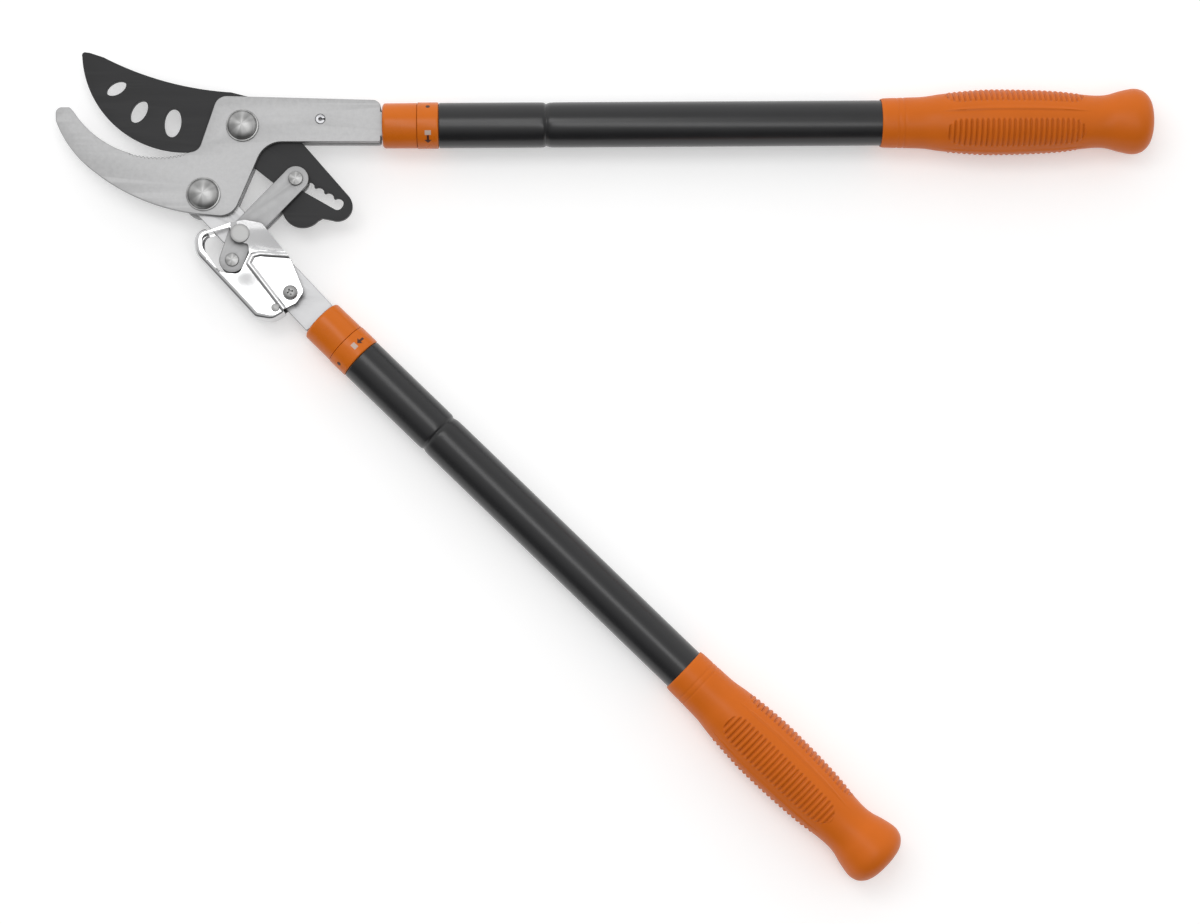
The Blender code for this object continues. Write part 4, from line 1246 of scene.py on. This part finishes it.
def grip_relief(panel_turn):
    """A radius function with ribbed panels, raised leaves between them and two front grooves."""
    pitch = (RIB_TO - RIB_FROM) / RIB_COUNT
    rib_middle, rib_half = (RIB_FROM + RIB_TO) / 2, (RIB_TO - RIB_FROM) / 2
    leaf_middle, leaf_half = (LEAF_FROM + LEAF_TO) / 2, (LEAF_TO - LEAF_FROM) / 2
    period = 360.0 / PANELS

    def shape(turn, radius, height):
        along = height - GRIP_START
        if radius < OUTER_TUBE_RADIUS + 0.8 or along > PLAIN_FROM:
            return radius
        for groove in FRONT_GROOVES:
            radius -= 0.3 * exp(-(((along - groove) / 0.45) ** 2))
        from_panel = (turn - panel_turn + period / 2) % period - period / 2
        past = max(0.0, abs(along - rib_middle) - (rib_half - PANEL_TAPER)) / PANEL_TAPER
        if past < 1.0:
            width = PANEL_HALF * sqrt(1.0 - past**2)
            inside = ease((width - abs(from_panel)) / 3.0)
            wave = abs(cos(pi * (along - RIB_FROM) / pitch)) ** 0.9
            radius += inside * RIB_DEPTH * (wave - 0.65)
        share = 1.0 - ((along - leaf_middle) / leaf_half) ** 2
        if share > 0:
            from_leaf = (turn - panel_turn) % period - period / 2
            leaf = LEAF_HALF * share
            lift = LEAF_RISE * min(1.0, 2.0 * share)
            if -leaf < from_leaf <= 0.0:
                radius += lift * ease(1.0 + from_leaf / leaf)
            elif 0.0 < from_leaf < 6.0:
                crease = 0.25 * exp(-(((from_leaf - 2.4) / 1.6) ** 2))
                radius += lift * (1.0 - ease(from_leaf / 1.6) - crease)
        return radius

    return shape


def grip_mesh(panel_turn):
    run = smooth_through(GRIP_PROFILE, 8)
    pitch = (RIB_TO - RIB_FROM) / RIB_COUNT
    heights = [0.5 + 0.5 * i for i in range(64)]
    heights += [RIB_FROM - 6.0 + pitch / 8 * i for i in range(-4, 8 * RIB_COUNT + 32)]
    heights = [h for h in sorted(set(heights)) if h < 131.0]
    outside = [(radius_along(run, h), h) for h in heights]
    outside += [(r, h) for r, h in run if h > 131.2]
    profile = [(r, GRIP_START + h) for r, h in outside[::-1]]
    lining = OUTER_TUBE_RADIUS + GAP
    bottom = OUTER_TUBE_END + 1.0
    profile += [(14.75, GRIP_START + 0.1), (lining, GRIP_START), (lining, bottom), (0.0, bottom)]
    return lathe(profile, 240, grip_relief(panel_turn), 60.0)


def make_handle(prefix, panel_turn, mark_turns):
    inner_tube = rounded([
        (INNER_TUBE_RADIUS, INNER_TUBE_END, 0.3), (INNER_TUBE_RADIUS, INNER_TUBE_START, 0.3),
        (INNER_TUBE_BORE, INNER_TUBE_START, 0.2), (INNER_TUBE_BORE, INNER_TUBE_END, 0.2),
    ])
    for piece, mesh in (
        ("outer_tube", outer_tube_mesh()),
        ("lock_body", lock_body_mesh()),
        ("lock_sleeve", sleeve_mesh()),
        ("grip", grip_mesh(panel_turn)),
        ("inner_tube", lathe(inner_tube, 128)),
    ):
        stand_for(f"{prefix}_{piece}", mesh, HANDLES[prefix])
    make_marks(prefix, mark_turns)


# ---- CAD nodes that stay


def finish_inner_nodes():
    """Pieces whose design shape is right keep it and get their finish."""
    for name, node in frame["nodes"].items():
        if node.hide_render:
            continue
        node.data.materials.clear()
        node.data.materials.append(FINISH_OF_SLOT[SLOT_OF[name]])


# ---- floor, light and camera


FLOOR_GLOW = 0.3  # the floor is lit from behind as well, like a light table
FLOOR_HALF = 60.0


def make_floor():
    """A wide pale floor just under the loppers."""
    body = bmesh.new()
    bmesh.ops.create_grid(body, x_segments=8, y_segments=8, size=FLOOR_HALF)
    mesh = bpy.data.meshes.new("floor")
    body.to_mesh(mesh)
    body.free()
    floor = in_scene("floor", mesh)
    floor.location.z = cad_low.z
    finish = bpy.data.materials.new("pale_floor")
    finish.use_nodes = True
    tree, shader = nodes_of(finish)
    speckle = remap(tree, mapped_noise(tree, 8.0), 0.0, 1.0)
    tree.links.new(tint(tree, speckle, (0.79, 0.79, 0.79), (0.81, 0.81, 0.81)), shader.inputs["Base Color"])
    shader.inputs["Roughness"].default_value = 0.9
    shader.inputs["Emission Color"].default_value = (1.0, 1.0, 1.0, 1.0)
    shader.inputs["Emission Strength"].default_value = FLOOR_GLOW
    mesh.materials.append(finish)


LIGHT_HEIGHT = 1.4


def area_light(name, place, turn, size, power):
    """A soft light that points straight down."""
    light = bpy.data.lights.new(name, "AREA")
    light.shape = "RECTANGLE"
    light.size, light.size_y = size
    light.energy = power
    lamp = in_scene(name, light)
    lamp.location = (*place, LIGHT_HEIGHT)
    lamp.rotation_euler.z = radians(turn)
    lamp.visible_camera = False


def ramp(tree, value, stops):
    """A grey that follows a value through (position, brightness) stops."""
    made = add(tree, "ValToRGB", [("Fac", value)])
    elements = made.color_ramp.elements
    while len(elements) < len(stops):
        elements.new(0.5)
    for element, (position, brightness) in zip(elements, stops):
        element.position = position
        element.color = (brightness, brightness, brightness, 1.0)
    return made.outputs["Color"]


def make_light():
    """A bright studio room, darker towards -Y, with one soft light over the head."""
    world = bpy.data.worlds.new("studio")
    bpy.context.scene.world = world
    world.use_nodes = True
    tree = world.node_tree
    background = tree.nodes["Background"]
    way = add(tree, "TexCoord").outputs["Generated"]
    parts = add(tree, "SeparateXYZ", [("Vector", way)]).outputs
    across = remap(tree, parts["Y"], 0.0, 1.0, -1.0, 1.0)
    walls = ramp(tree, across, [(0.0, 0.08), (0.25, 0.22), (0.5, 0.8), (0.75, 1.0), (1.0, 1.1)])
    ceiling = ramp(tree, parts["Z"], [(0.5, 0.0), (0.95, 1.0)])
    room = tint(tree, ceiling, walls, (0.75, 0.75, 0.75))
    tree.links.new(room, background.inputs["Color"])
    area_light("strip", (0.12, -0.13), LOWER_ANGLE, (0.86, 0.34), 2.9)
    area_light("softbox", (-0.38, 0.48), 0.0, (0.9, 0.46), 3.9)


CAMERA_DISTANCE = 1.6
CAMERA_TARGET = (-0.0052, -0.0003)
CAMERA_LEAN = (5.50, -1.41)  # degrees off the vertical, towards -Y and +X
CAMERA_ROLL = -0.21
CAMERA_LENS = 78.25


def make_camera():
    """Nearly straight above the loppers, leaning a little towards the open side."""
    camera = bpy.data.cameras.new("camera")
    camera.sensor_width = 36.0
    camera.lens = CAMERA_LENS
    camera.clip_end = 50.0
    seen = in_scene("camera", camera)
    lean_y, lean_x = (sin(radians(angle)) for angle in CAMERA_LEAN)
    back = Vector((lean_x, -lean_y, sqrt(1 - lean_x**2 - lean_y**2)))
    right = Vector((0.0, 1.0, 0.0)).cross(back).normalized()
    turn = Matrix((right, back.cross(right), back)).transposed().to_4x4()
    target = Vector((*CAMERA_TARGET, HEAD.translation.z))
    place = Matrix.Translation(target + back * CAMERA_DISTANCE)
    seen.matrix_world = place @ turn @ Matrix.Rotation(radians(CAMERA_ROLL), 4, "Z")
    bpy.context.scene.camera = seen


# ---- assembly

make_plates()
make_blade()
make_pivots()
make_pins()
make_guard()
make_spring()
make_handle("upper", 33.0, (48.0, 30.0, -42.0))
make_handle("lower", 15.5, (-30.0, -8.0, 57.0))
finish_inner_nodes()
make_floor()
make_light()
make_camera()
bpy.context.scene.view_settings.view_transform = "Standard"
